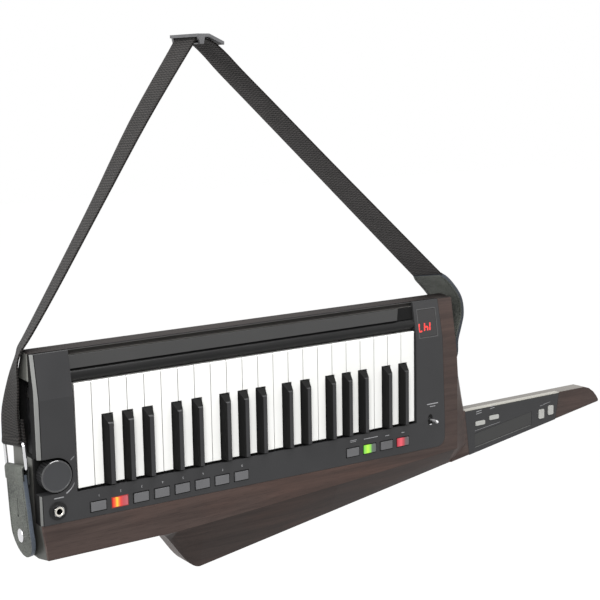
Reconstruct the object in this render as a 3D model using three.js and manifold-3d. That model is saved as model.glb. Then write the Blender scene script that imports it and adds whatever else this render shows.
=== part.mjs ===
// Shoulder keyboard with a wooden body, thirty-seven slim keys, a short neck and a strap.
// Millimetres. X runs along the keys towards the neck, Y from the keys' faces to the back, Z up.
// The parts are drawn from the top left corner of the key faces, and the whole group is then
// moved so that its origin is the point where the strap hangs on a shoulder.
import * as THREE from 'three';
import { mergeVertices } from 'three/addons/utils/BufferGeometryUtils.js';
import Module from 'manifold-3d';

const wasm = await Module();
wasm.setup();

// Fits and cuts
const seatGap = 0.3; // left between a piece and what it seats on
const overrun = 2; // how far a cutting shape reaches past the face it cuts
const edgeBreak = 1.2; // small bevel on moulded and wooden edges

// White keys
const whiteCount = 22;
const octaveWhites = 7;
const keyPitch = 20.6; // one white key to the next
const keyGap = 0.8; // between neighbouring keys
const whiteLength = 114; // what shows of a white key
const keySkirt = 13; // depth of a key's side walls
const keyPlate = 2; // thickness of the played surface
const keyWall = 1.6; // thickness of a key's side walls
const keyFrontBevel = 1; // bevel along a white key's front edge
const keyDip = 8; // how far the front edge of a key goes down

// Black keys
const blackLength = 76; // from the sloped end to the rear of the white keys
const blackHeight = 9; // above the white keys
const blackTopWidth = 9;
const blackBaseWidth = 11.5;
const blackSlopeRun = 8.5; // length of the sloped end
const blackRoom = 1; // slot around a black key
const tripleOffset = 3.3; // outer black keys of a group of three, from their gap
const pairOffset = 2.4; // black keys of a pair, from their gap

// Key hinges
const barrelRadius = 3;
const barrelBack = 7; // depth of the barrel's centre behind the key faces
const barrelDrop = 7; // the barrel's centre below the end of the key faces
const armTop = 3; // depth of the rear arm's upper face
const armThick = 3.5;

// Front panel
const faceBack = -3; // the panel's face stands proud of the white keys
const panelThick = 16; // depth of the panel's blocks and rims
const panelSkin = 3; // thickness of its face over a hollow
const topRise = 35; // height of the panel above the key fronts
const slopeDrop = 12; // the sloped zone starts this far below the key fronts
const slopeRun = 8; // how far the sloped zone falls back at its top
const panelFootDrop = 31; // the panel's lower edge at the left, below the rear end of the white keys
const panelFootRightDrop = 37; // and at the right
const panelCorner = 12; // radius of its lower right corner
const panelRightTop = 494; // right edge at the top
const panelRightLow = 499.5; // right edge at the corner
const keyOpeningRoom = 1.4; // between the outer keys and the panel
const rearSlot = 1.5; // dark slot at the rear of the keys

// Front rail with its touch strip
const railRadius = 6.4;
const railHeight = 8; // centre of the rounded rail above the key fronts
const railSetBack = 6.6; // centre of the rounded rail behind the sloped face
const stripLow = 15.6;
const stripHigh = 29.4;
const stripBed = 2.6; // depth of the strip's bed behind the sloped face
const stripThick = 1.4;
const stripEnd = 432; // right end of the touch strip
const stripEndSlant = 3;
const coveDepth = 8;
const coveHigh = 33.5;
const brow = 2.2; // top lip, behind the sloped face

// Wooden body
const leftFace = 43; // left face, left of the keys
const bodyFootDrop = 70; // lower edge below the rear end of the white keys
const topDepth = 21; // depth of the top face
const topRiseRear = 2.6;
const backPlane = 65; // the flat of the back
const backTopZ = 50; // the flat starts this far below the key fronts
const backFootLift = 32; // and ends here above the lower edge
const shoulderBack = 56;
const shoulderZ = 15;
const heelBack = 57;
const heelLift = 11;
const footBack = 45;
const bodyRightTop = 516; // right end of the top edge
const bodyRight = 519; // right edge of the front face at its lower corner
const flareReach = 31; // from that corner to the neck
const flareDepth = 15; // how far the flared bevel falls back
const flareBackShare = 0.55; // depth left at the flare's end
const neckMeetShare = 0.75; // the neck's top edge meets the flare this far along it
const ridgeLift = 25; // the bevel's edge climbs this much from the horn to the right corner
const hornRoot = 95; // where the horn leaves the lower edge
const hornTip = 151;
const hornDrop = 52; // the tip below the lower edge
const hornRear = 41; // depth of the horn's rear face
const lineSlopeShare = 0.1506; // the straight lower edge climbs this much per unit of length
const wallThick = 6;

// Neck
const neckTopLift = 68; // top edge above the body's lower edge
const neckFace = 9; // depth of its face
const neckTopDepth = 20;
const neckBack = 39;
const neckLong = 207; // from the flare to where its end starts to round
const neckTipRun = 28; // length of the rounded end
const neckTipDrop = 21; // the tip's upper corner below the top edge
const neckPanelRest = 47; // bare wood before the end starts to round
const neckPanelSlant = 6.5;
const neckPanelThick = 8;
const neckPanelSkin = 2.6;
const neckGap = 1; // between the body's flare and the neck panel

// Volume knob
const knobX = -24.9;
const knobLift = 20.4; // above the rear end of the white keys
const knobRadius = 17.2;
const knobPocket = 2; // room around it
const knobProud = 3.4; // its face before the panel
const knobFoot = 8; // depth of its underside
const knobPocketBack = 9.2;
const knobShaft = 3;
const knobShaftEnd = 24;
const knobFlutes = 34;
const fluteDeep = 0.7;

// Output jack
const jackX = -24.1;
const jackDrop = 17.4; // below the rear end of the white keys
const jackBore = 3.25;
const jackBarrel = 5;
const jackWasher = 9.8;
const washerThick = 1.2;
const jackNut = 6.2; // across its corners, as a radius
const nutThick = 2.4;
const jackEnd = 27; // depth of its rear end
const jackBoreEnd = 20;

// Buttons
const buttonDrop = 20.9; // below the rear end of the white keys
const buttonPitch = 25.4;
const programX = 21.8; // first of the eight
const programCount = 8;
const functionX = 356.1; // first of the four
const functionCount = 4;
const buttonWide = 17.6;
const buttonHigh = 10;
const buttonRoom = 0.9; // dark frame around a cap
const buttonProud = 1.2;
const buttonTravel = 1;
const bankThick = 1.6;
const bankBack = 0.4; // the bank's front behind the panel's skin
const bankMargin = 3.4;
const buttonPocketHigh = 19;

// Toggle switch
const toggleX = 476.2;
const toggleDrop = 0.4; // below the rear end of the white keys
const toggleBall = 3;
const toggleLength = 14;
const toggleTip = 2;
const toggleRoot = 1.3;

// Display
const displayX = 474.2;
const displayLow = 9; // below the key fronts
const displayHigh = 25; // above them
const displayWide = 28;
const displayBed = 1.6;
const displayThick = 1.2;

// Neck controls
const neckKeySet = 19; // first long cap, from the flare
const neckKeyLift = 48; // above the body's lower edge
const neckKeyStepX = 23.8;
const neckKeyStepZ = 3.9;
const neckKeyWide = 16;
const neckKeyHigh = 5.6;
const stepKeySet = 32.5; // first upright cap, left of the panel's end
const stepKeyLift = 42.8;
const stepKeyStepX = 17;
const stepKeyStepZ = 2.7;
const stepKeyWide = 9.4;
const stepKeyHigh = 12.4;
const neckKeyRound = 1.6;
const neckKeyProud = 0.9;
const neckKeyRoom = 0.35;
const matThick = 1.6;
const shortStripSet = 10; // from the flare
const shortStripRest = 17.5; // left of the first upright cap
const shortStripLift = 35.2; // its top at the left end, above the body's lower edge
const shortStripHigh = 18;
const shortStripBed = 1.5;
const shortStripThick = 1;
const shortStripSlopeShare = 0.139;

// Keybed
const bedRoom = 3; // left between a pressed key and the keybed's plate
const bedThick = 3;
const railBack = 7.3; // upper face of the hinge rail
const railHalf = 5;
const postTop = 9.5; // top of a white key's guide post
const blackPostTop = 5;
const postThick = 3;
const whitePostDrop = 18;
const blackPostSet = 18; // behind a black key's front end
const bedSideRoom = 0.9;

// Back cover and battery bay
const coverLeft = 20;
const coverRest = 28; // right of the battery bay
const coverTop = 58; // below the key fronts
const coverThick = 3;
const coverRound = 8;
const coverLedge = 6;
const bayLeft = 296;
const bayWide = 116;
const bayMargin = 14; // above and below the bay
const bayHigh = 56;
const bayDepth = 19;
const bayWall = 2;
const doorThick = 2.4;
const doorRim = 4;
const doorNotch = 6; // radius of its finger notch

// Connector recess in the left face
const recessTop = 6; // above the key fronts
const recessFoot = 76;
const recessBack = 40;
const recessDepth = 7;
const recessLedge = 1.6;
const plateThick = 2.4;
const socketPocket = 16;
const dinZ = 10;
const dinOuter = 9;
const dinInner = 7;
const dinDepth = 9;
const usbZ = 34;
const usbWide = 12.4;
const usbHigh = 11;
const usbWall = 1.4;
const powerZ = 56;
const powerOuter = 5.6;
const powerInner = 3.4;
const socketBack = 28.5;

// Strap
const webWidth = 48;
const webThick = 2;
const webEndSet = 19; // the webbing ends this far left of the body's lower right corner
const strapBack = 33; // depth of the strap's middle
const ringX = -49.5;
const leanDegrees = 9; // the ring and what it holds swing this far back on the pin
const ringTop = 60; // below the key fronts
const ringHigh = 32;
const ringWide = 54; // between the wires' centres
const wireRadius = 2;
const eyeWall = 2;
const leatherThick = 3.4;
const leatherWide = 54;
const leatherOver = 4; // how far the left end reaches below the body
const leatherX = -49.8;
const pinNeck = 3.2;
const pinHead = 7.3;
const pinHeadThick = 2.6;
const pinNeckEnd = 9.6; // from the wall to the underside of the head
const rightPinWall = 4.4; // the right pin's seat, outside the body's lower corner
const pinFlange = 7.5;
const pinFlangeThick = 2;
const pinHole = 3.8;
const pinRoot = 12; // how far the pin's screw goes into the wood
const pinScrew = 2;
const leftPinSet = 3.5; // the left pin sits this far in front of the strap's middle
const rightPinZ = 34;
const rightLeatherWide = 50;
const apexX = 168;
const apexZ = 350; // above the key fronts
const sliderWide = 60;
const sliderPlate = 3.4;
const sliderBar = 4.6; // half the length of the cheeks that hold the bar

// Facets
const roundSides = 32;
const smallSides = 16;
const barrelSides = 10;
const arcSteps = 6;

// What follows from the sizes above
const panelFoot = whiteLength + panelFootDrop;
const panelFootRight = whiteLength + panelFootRightDrop;
const bodyFoot = whiteLength + bodyFootDrop;
const backFootZ = bodyFoot - backFootLift;
const heelZ = bodyFoot - heelLift;
const neckTop = bodyFoot - neckTopLift;
const knobZ = whiteLength - knobLift;
const jackZ = whiteLength + jackDrop;
const buttonZ = whiteLength + buttonDrop;
const toggleZ = whiteLength + toggleDrop;
const neckKeyZ = bodyFoot - neckKeyLift;
const stepKeyZ = bodyFoot - stepKeyLift;
const shortStripTop = bodyFoot - shortStripLift;
const blackPostDrop = whiteLength - blackLength + blackPostSet;
const bayTop = coverTop + bayMargin;
const coverFoot = bayTop + bayHigh + bayMargin;
const coverRight = bayLeft + bayWide + coverRest;
const leatherFoot = bodyFoot + leatherOver;
const pinZ = leatherFoot - leatherWide / 2;
const keysRight = whiteCount * keyPitch;
const barrelZ = -(whiteLength + barrelDrop);
const bedBack = keySkirt + keyDip + bedRoom;
const slopeShare = slopeRun / (topRise + slopeDrop);
const panelBack = faceBack + panelThick;
const recessFront = panelBack + seatGap;
const skinBack = faceBack + panelSkin;
const flareEnd = bodyRight + flareReach;
const neckShoulder = flareEnd + neckLong;
const neckEnd = neckShoulder + neckTipRun;
const neckPanelTopEnd = neckShoulder - neckPanelRest;
const neckPanelFootEnd = neckPanelTopEnd - neckPanelSlant;
const neckKeyX = flareEnd + neckKeySet;
const stepKeyX = neckPanelTopEnd - stepKeySet;
const shortStripLeft = flareEnd + shortStripSet;
const shortStripRight = stepKeyX - shortStripRest;
const lowLine = (x) => -(bodyFoot + hornDrop) + lineSlopeShare * (x - hornTip);
const faceY = (z) => faceBack + Math.max(0, z + slopeDrop) * slopeShare;

// Solids and meshes
function solidOf(geometry) {
  const bare = geometry.index ? geometry.toNonIndexed() : geometry.clone();
  bare.deleteAttribute('normal');
  bare.deleteAttribute('uv');
  const merged = mergeVertices(bare, 1e-4);
  const vertProperties = new Float32Array(merged.attributes.position.array);
  const triVerts = new Uint32Array(merged.index.array);
  return new wasm.Manifold(new wasm.Mesh({ numProp: 3, vertProperties, triVerts }));
}

function geometryOf(solid) {
  const { vertProperties, triVerts } = solid.getMesh();
  const geometry = new THREE.BufferGeometry();
  geometry.setAttribute('position', new THREE.BufferAttribute(vertProperties, 3));
  geometry.setIndex(new THREE.BufferAttribute(triVerts, 1));
  geometry.computeVertexNormals();
  return geometry;
}

// An outline drawn as the player's side sees it, x and z, given a depth from yFront to yBack
function slab(outline, yFront, yBack) {
  const shape = outline instanceof THREE.Shape ? outline : new THREE.Shape(outline);
  const depth = yBack - yFront;
  const geometry = new THREE.ExtrudeGeometry(
    shape, { depth, bevelEnabled: false, curveSegments: arcSteps },
  );
  geometry.rotateX(Math.PI / 2);
  geometry.translate(0, yBack, 0);
  return solidOf(geometry);
}

// A side profile, points (y, z), run from xLeft to xRight
function bar(profile, xLeft, xRight) {
  const shape = new THREE.Shape(profile.map(([y, z]) => new THREE.Vector2(-z, y)));
  const geometry = new THREE.ExtrudeGeometry(shape, { depth: xRight - xLeft, bevelEnabled: false });
  geometry.rotateY(Math.PI / 2);
  geometry.translate(xLeft, 0, 0);
  return solidOf(geometry);
}

function box(xLeft, xRight, yFront, yBack, zLow, zHigh) {
  const geometry = new THREE.BoxGeometry(xRight - xLeft, yBack - yFront, zHigh - zLow);
  geometry.translate((xLeft + xRight) / 2, (yFront + yBack) / 2, (zLow + zHigh) / 2);
  return solidOf(geometry);
}

// Round bars: along Y as knobs and barrels are, or along X as hinge barrels and pins are
function roundY(x, z, radius, yFront, yBack, sides = roundSides) {
  const geometry = new THREE.CylinderGeometry(radius, radius, yBack - yFront, sides);
  geometry.translate(x, (yFront + yBack) / 2, z);
  return solidOf(geometry);
}

function roundX(y, z, radius, xLeft, xRight, sides = smallSides) {
  const geometry = new THREE.CylinderGeometry(radius, radius, xRight - xLeft, sides);
  geometry.rotateZ(Math.PI / 2);
  geometry.translate((xLeft + xRight) / 2, y, z);
  return solidOf(geometry);
}

function roundedBox(x, z, wide, high, radius) {
  const shape = new THREE.Shape();
  const right = x + wide / 2;
  const left = x - wide / 2;
  const top = z + high / 2;
  const foot = z - high / 2;
  shape.moveTo(left + radius, foot);
  shape.lineTo(right - radius, foot);
  shape.absarc(right - radius, foot + radius, radius, -Math.PI / 2, 0, false);
  shape.lineTo(right, top - radius);
  shape.absarc(right - radius, top - radius, radius, 0, Math.PI / 2, false);
  shape.lineTo(left + radius, top);
  shape.absarc(left + radius, top - radius, radius, Math.PI / 2, Math.PI, false);
  shape.lineTo(left, foot + radius);
  shape.absarc(left + radius, foot + radius, radius, Math.PI, Math.PI * 1.5, false);
  return shape;
}

const points = (list) => list.map(([x, z]) => new THREE.Vector2(x, z));

// Sections of the same number of points, each a ring of 3-D points, skinned and capped.
// A cap is a fan about the ring's middle.
function loft(rings) {
  const count = rings[0].length;
  const middleOf = (ring) => ring.reduce((sum, p) => sum.add(p), new THREE.Vector3()).divideScalar(count);
  const corners = [...rings.flat(), middleOf(rings[0]), middleOf(rings[rings.length - 1])];
  const last = (rings.length - 1) * count;
  const firstMiddle = corners.length - 2;
  const lastMiddle = corners.length - 1;
  const index = [];
  for (let i = 0; i < count; i += 1) {
    const j = (i + 1) % count;
    for (let a = 0; a < last; a += count) {
      index.push(a + i, a + j, a + count + j, a + i, a + count + j, a + count + i);
    }
    index.push(firstMiddle, j, i, lastMiddle, last + i, last + j);
  }
  const geometry = new THREE.BufferGeometry();
  geometry.setAttribute(
    'position', new THREE.Float32BufferAttribute(corners.flatMap((p) => p.toArray()), 3),
  );
  geometry.setIndex(index);
  const solid = solidOf(geometry);
  if (solid.volume() > 0) return solid;
  geometry.setIndex(index.reverse());
  return solidOf(geometry);
}

function material(color, roughness, metalness) {
  return new THREE.MeshStandardMaterial({ color, roughness, metalness });
}
const finishes = {
  stainedWood: material(0x4a3a34, 0.45, 0),
  blackPanel: material(0x3c3c3e, 0.5, 0),
  whiteKey: material(0xf6f6f2, 0.25, 0),
  blackKey: material(0x2b2b2d, 0.45, 0),
  ribbon: material(0x555553, 0.6, 0),
  button: material(0x8f8f92, 0.5, 0),
  neckButton: material(0xe6e6e2, 0.5, 0),
  smoke: material(0x241a1a, 0.15, 0),
  chrome: material(0xd8d8da, 0.15, 1),
  darkPlastic: material(0x1d1d1f, 0.6, 0),
  webbing: material(0x3d3a38, 0.9, 0),
  leather: material(0x4a4d49, 0.65, 0),
  slider: material(0x6c6c6e, 0.4, 0.6),
};

const instrument = new THREE.Group();
instrument.position.set(-apexX, -strapBack, -apexZ);

function addPart(name, solid, finish) {
  const mesh = new THREE.Mesh(geometryOf(solid), finish);
  mesh.name = name;
  instrument.add(mesh);
}

// Where the black keys stand: the gap after each white key that has one, and its offset
const blackKeys = [];
for (let i = 0; i < whiteCount - 1; i += 1) {
  const step = i % octaveWhites;
  const offset = { 1: -tripleOffset, 2: 0, 3: tripleOffset, 5: -pairOffset, 6: pairOffset }[step];
  if (offset !== undefined) blackKeys.push({ after: i, x: (i + 1) * keyPitch + offset });
}
const slotHalf = blackBaseWidth / 2 + blackRoom;
const blackFront = -(whiteLength - blackLength);

// A key's rear arm and the round barrel that it turns on
function keyRear(left, right) {
  const arm = box(left, right, armTop, armTop + armThick, barrelZ, -whiteLength + overrun);
  return arm.add(roundX(barrelBack, barrelZ, barrelRadius, left, right, barrelSides));
}

function whiteKey(i) {
  const left = i * keyPitch + keyGap / 2;
  const right = (i + 1) * keyPitch - keyGap / 2;
  const slotBefore = blackKeys.find((key) => key.after === i - 1);
  const slotAfter = blackKeys.find((key) => key.after === i);
  const tailLeft = slotBefore ? Math.max(left, slotBefore.x + slotHalf) : left;
  const tailRight = slotAfter ? Math.min(right, slotAfter.x - slotHalf) : right;
  const slotEnd = blackFront + blackRoom;
  const outlineAt = (inset, front, rear) => points([
    [left + inset, front],
    [left + inset, slotEnd + (slotBefore ? inset : 0)],
    [tailLeft + inset, slotEnd + (slotBefore ? inset : 0) - (slotBefore ? 0 : overrun)],
    [tailLeft + inset, rear],
    [tailRight - inset, rear],
    [tailRight - inset, slotEnd + (slotAfter ? inset : 0) - (slotAfter ? 0 : overrun)],
    [right - inset, slotEnd + (slotAfter ? inset : 0)],
    [right - inset, front],
  ]);
  const shell = slab(outlineAt(0, 0, -whiteLength), 0, keySkirt);
  const hollow = slab(outlineAt(keyWall, -keyWall, -whiteLength + keyWall), keyPlate, keySkirt + overrun);
  const bevel = bar([
    [-overrun, overrun],
    [-overrun, -keyFrontBevel - overrun],
    [0, -keyFrontBevel],
    [keyFrontBevel, 0],
    [keyFrontBevel + overrun, overrun],
  ], left - overrun, right + overrun);
  return shell.subtract(hollow).subtract(bevel).add(keyRear(tailLeft, tailRight));
}

function blackKey({ x }) {
  const ring = (half, y, front) => [
    new THREE.Vector3(x - half, y, front),
    new THREE.Vector3(x - half, y, -whiteLength),
    new THREE.Vector3(x + half, y, -whiteLength),
    new THREE.Vector3(x + half, y, front),
  ];
  const base = blackBaseWidth / 2;
  const top = blackTopWidth / 2;
  const shell = loft([
    ring(base, keySkirt, blackFront),
    ring(base, 0, blackFront),
    ring(top, -blackHeight + edgeBreak, blackFront - blackSlopeRun + edgeBreak),
    ring(top - edgeBreak, -blackHeight, blackFront - blackSlopeRun),
  ]);
  const inner = base - keyWall;
  const hollow = box(
    x - inner, x + inner, 0, keySkirt + overrun, -whiteLength + keyWall, blackFront - keyWall,
  );
  return shell.subtract(hollow).add(keyRear(x - base, x + base));
}

for (let i = 0; i < whiteCount; i += 1) {
  addPart(`white_key_${String(i + 1).padStart(2, '0')}`, whiteKey(i), finishes.whiteKey);
}
blackKeys.forEach((key, i) => {
  addPart(`black_key_${String(i + 1).padStart(2, '0')}`, blackKey(key), finishes.blackKey);
});

// Keybed: a plate with the hinge rail at the rear and a guide post inside every key
function keybed() {
  const left = bedSideRoom - keyOpeningRoom;
  const right = keysRight - left;
  const railZ = barrelZ;
  let bed = box(left, right, bedBack, bedBack + bedThick, railZ - railHalf, 0);
  bed = bed.add(box(left, right, railBack, bedBack + bedThick, railZ - railHalf, railZ + railHalf));
  bed = bed.subtract(roundX(
    barrelBack, railZ, barrelRadius + seatGap, left - overrun, right + overrun, smallSides,
  ));
  const post = (x, drop, half, top) => box(
    x - half, x + half, top, bedBack + bedThick, -drop - postThick / 2, -drop + postThick / 2,
  );
  const whiteHalf = (keyPitch - keyGap) / 2 - keyWall - seatGap;
  const blackHalf = blackBaseWidth / 2 - keyWall - seatGap;
  const posts = [];
  for (let i = 0; i < whiteCount; i += 1) {
    posts.push(post((i + 0.5) * keyPitch, whitePostDrop, whiteHalf, postTop));
  }
  for (const key of blackKeys) posts.push(post(key.x, blackPostDrop, blackHalf, blackPostTop));
  // Shelf behind the button banks
  const shelfBack = skinBack + bankBack + bankThick + buttonTravel + seatGap;
  const shelfFoot = -buttonZ - buttonHigh / 2 - bankMargin / 2;
  posts.push(box(left, right, shelfBack, shelfBack + bedThick, shelfFoot, railZ - railHalf));
  posts.push(box(
    left, right, shelfBack, bedBack + bedThick, railZ - railHalf - bedThick,
    railZ - railHalf + edgeBreak / 2,
  ));
  return bed.add(wasm.Manifold.union(posts));
}
addPart('keybed', keybed(), finishes.darkPlastic);

// Cross-section of the body at one place along it. The nominal back profile is squeezed
// between the top and the lower edge there.
const backProfile = [
  [shoulderBack, -shoulderZ],
  [backPlane, -backTopZ],
  [backPlane, -backFootZ],
  [heelBack, -heelZ],
  [footBack, -bodyFoot],
];

function bodySection(x, top, foot, ridge, front, depthShare, inset = 0) {
  const squeezeShare = (top + bodyFoot) / (topRise + bodyFoot);
  const squeeze = (z) => (z > -bodyFoot ? -bodyFoot + (z + bodyFoot) * squeezeShare : z);
  const deep = (y) => front + (y - faceBack) * depthShare;
  const bend = Math.min(-slopeDrop, squeeze(-slopeDrop));
  const brim = front + (top - bend) * slopeShare;
  const ring = [
    [front + inset, bend],
    [brim + inset, top - inset],
    [brim + topDepth * depthShare - inset, top + topRiseRear - inset],
    ...backProfile.map(([y, z]) => [deep(y) - inset, squeeze(z) + (z === -bodyFoot ? inset : 0)]),
    [Math.min(deep(hornRear), deep(footBack) - overrun) - inset, foot + inset],
    [faceBack + flareDepth + inset, foot + inset],
    [front + inset, Math.max(ridge, foot + edgeBreak / 2 + inset)],
  ];
  return ring.map(([y, z]) => new THREE.Vector3(x, y, z));
}

// The horn swings out of the lower edge in an S, half a cosine wave, and ends in a round tip
const hornShares = [0, 0.07, 0.15, 0.24, 0.33, 0.42, 0.51, 0.6, 0.69, 0.77, 0.84, 0.9, 0.95, 0.98, 1];
const ridgeAt = (x) => -bodyFoot + ridgeLift * Math.max(0, (x - hornRoot) / (bodyRight - hornRoot)) ** 1.2;

function woodenBody() {
  const sections = [];
  sections.push(bodySection(-leftFace, topRise, -bodyFoot, -bodyFoot, faceBack, 1, edgeBreak));
  sections.push(bodySection(-leftFace + edgeBreak, topRise, -bodyFoot, -bodyFoot, faceBack, 1));
  for (const share of hornShares) {
    const x = hornRoot + share * (hornTip - hornRoot);
    const drop = hornDrop * (1 - Math.cos(Math.PI * share ** 0.95)) / 2;
    sections.push(bodySection(x, topRise, -bodyFoot - drop, ridgeAt(x), faceBack, 1));
  }
  for (const x of [(hornTip + bodyRightTop) / 2, bodyRightTop]) {
    sections.push(bodySection(x, topRise, lowLine(x), ridgeAt(x), faceBack, 1));
  }
  // The right end curves down into the flare that meets the neck
  const rightShares = [[0.3, 0.12], [0.65, 0.3], [1, 0.6]];
  for (const [along, down] of rightShares) {
    const x = bodyRightTop + along * (bodyRight + edgeBreak - bodyRightTop);
    const top = topRise - down * (topRise + backTopZ);
    sections.push(bodySection(x, top, lowLine(x), ridgeAt(bodyRight), faceBack, 1));
  }
  const flareShares = [[0.18, 0.24], [neckMeetShare, 0.68], [1, 1]];
  for (const [along, down] of flareShares) {
    const x = bodyRight + along * flareReach;
    const start = topRise - 0.6 * (topRise + backTopZ);
    const end = lowLine(flareEnd) + flareDepth;
    const front = faceBack + flareDepth * along;
    const depthShare = 1 - (1 - flareBackShare) * along;
    sections.push(bodySection(
      x, start + down * (end - start), lowLine(x), ridgeAt(bodyRight), front, depthShare,
    ));
  }
  return loft(sections);
}

// The neck: a flat-faced blade with a round back, ending in a rounded point
function neck() {
  const section = (x, top, foot) => {
    const high = top - foot;
    return [
      [neckFace, top],
      [neckFace + neckTopDepth, top],
      [neckBack, top - high * 0.4],
      [neckBack, foot + high * 0.35],
      [neckFace + neckTopDepth, foot],
      [neckFace + edgeBreak, foot],
      [neckFace, foot + edgeBreak],
    ].map(([y, z]) => new THREE.Vector3(x, y, z));
  };
  const rings = [];
  for (const x of [bodyRight + overrun, neckShoulder]) rings.push(section(x, -neckTop, lowLine(x)));
  const roundShares = [[0.35, 0.14], [0.65, 0.42], [0.87, 0.74], [1, 1]];
  for (const [along, down] of roundShares) {
    const x = neckShoulder + along * (neckEnd - neckShoulder);
    rings.push(section(x, -neckTop - down * neckTipDrop, lowLine(x)));
  }
  return loft(rings);
}

// Outline of the front panel, grown by a gap where it cuts the wood
function panelOutline(grow) {
  const shape = new THREE.Shape();
  const right = panelRightLow + grow;
  const foot = -panelFootRight - grow;
  const slant = (panelFootRight - panelFoot) / (panelRightLow + leftFace);
  shape.moveTo(-leftFace - grow * overrun, topRise + grow * overrun);
  shape.lineTo(-leftFace - grow * overrun, -panelFoot - grow);
  shape.lineTo(right - panelCorner, foot + panelCorner * slant);
  shape.absarc(
    right - panelCorner, foot + panelCorner * slant + panelCorner, panelCorner, -Math.PI / 2, 0,
    false,
  );
  shape.lineTo(right, -neckTop);
  shape.lineTo(panelRightTop + grow, topRise + grow * overrun);
  return shape;
}

const panelProfile = [
  [faceBack, -bodyFoot],
  [faceBack, -slopeDrop],
  [faceY(topRise), topRise],
  [panelBack, topRise],
  [panelBack, -bodyFoot],
];

// Rounded rail in front of the keys, bed of the touch strip, cove and top lip, as one profile
function railProfile() {
  const profile = [[panelBack, railHeight - railRadius]];
  const centre = faceY(railHeight) + railSetBack;
  for (let i = 0; i <= arcSteps * 2; i += 1) {
    const angle = Math.PI * (i / (arcSteps * 2) - 0.5);
    profile.push([centre - railRadius * Math.cos(angle), railHeight + railRadius * Math.sin(angle)]);
  }
  profile.push([faceY(stripLow) + stripBed, stripLow - stripThick / 2]);
  profile.push([faceY(stripHigh) + stripBed, stripHigh + seatGap]);
  profile.push([faceY(stripHigh) + coveDepth, stripHigh + stripThick]);
  profile.push([faceY(coveHigh) + coveDepth - brow, coveHigh]);
  profile.push([faceY(topRise) + brow, coveHigh + brow / 2]);
  profile.push([faceY(topRise) + brow, topRise]);
  profile.push([panelBack, topRise]);
  return profile;
}

const programPlaces = Array.from({ length: programCount }, (_, i) => programX + i * buttonPitch);
const functionPlaces = Array.from({ length: functionCount }, (_, i) => functionX + i * buttonPitch);
const buttonAt = (x, grow) => box(
  x - buttonWide / 2 - grow,
  x + buttonWide / 2 + grow,
  faceBack - buttonProud - (grow ? overrun : 0),
  grow ? panelBack : skinBack + bankBack + bankThick,
  -buttonZ - buttonHigh / 2 - grow,
  -buttonZ + buttonHigh / 2 + grow,
);

function frontPanel() {
  const openLeft = -keyOpeningRoom;
  const openRight = keysRight + keyOpeningRoom;
  const openFoot = -whiteLength - rearSlot;
  let panel = bar(panelProfile, -leftFace, panelRightLow).intersect(slab(
    panelOutline(0), faceBack - overrun, panelBack,
  ));
  panel = panel.subtract(box(
    openLeft, openRight, faceBack - overrun, panelBack + overrun, openFoot, topRise + overrun,
  ));
  panel = panel.add(bar(railProfile(), openLeft - overrun, openRight + overrun));
  // Hollow behind the button strip, open to the keybed
  const hollowFoot = -buttonZ - buttonPocketHigh / 2;
  panel = panel.subtract(box(
    openLeft, openRight, skinBack, panelBack + overrun, hollowFoot, openFoot + overrun,
  ));
  for (const x of [...programPlaces, ...functionPlaces]) panel = panel.subtract(buttonAt(x, buttonRoom));
  // Knob pocket, open at the left face, with the shaft's bore
  const pocketRadius = knobRadius + knobPocket;
  const pocket = roundY(knobX, -knobZ, pocketRadius, faceBack - overrun, knobPocketBack)
    .add(box(
      -leftFace - overrun, knobX, faceBack - overrun, knobPocketBack, -knobZ - pocketRadius,
      -knobZ + pocketRadius,
    ));
  panel = panel.subtract(pocket);
  panel = panel.subtract(roundY(knobX, -knobZ, knobShaft + seatGap, faceBack, panelBack + overrun));
  panel = panel.subtract(roundY(
    jackX, -jackZ, jackBarrel + seatGap, faceBack - overrun, panelBack + overrun,
  ));
  // Seat of the toggle's ball and bed of the display
  panel = panel.subtract(roundY(
    toggleX, -toggleZ, toggleBall + seatGap, faceBack - overrun, panelBack + overrun, smallSides,
  ));
  const bedProfile = [
    [faceY(-displayLow) + displayBed, -displayLow],
    [faceY(displayHigh) + displayBed, displayHigh],
    [faceY(displayHigh) - overrun, displayHigh],
    [faceY(-displayLow) - overrun, -displayLow],
  ];
  return panel.subtract(bar(bedProfile, displayX - displayWide / 2, displayX + displayWide / 2));
}

// Neck panel outline in front view
function neckPanelOutline(grow) {
  const slopeTop = bodyRight + flareReach * neckMeetShare + neckGap;
  const footLeft = flareEnd + neckGap;
  return points([
    [slopeTop - grow, -neckTop + grow * overrun],
    [footLeft - grow, lowLine(footLeft) - grow * overrun],
    [neckPanelFootEnd + grow, lowLine(neckPanelFootEnd) - grow * overrun],
    [neckPanelTopEnd + grow, -neckTop + grow * overrun],
  ]);
}

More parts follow.
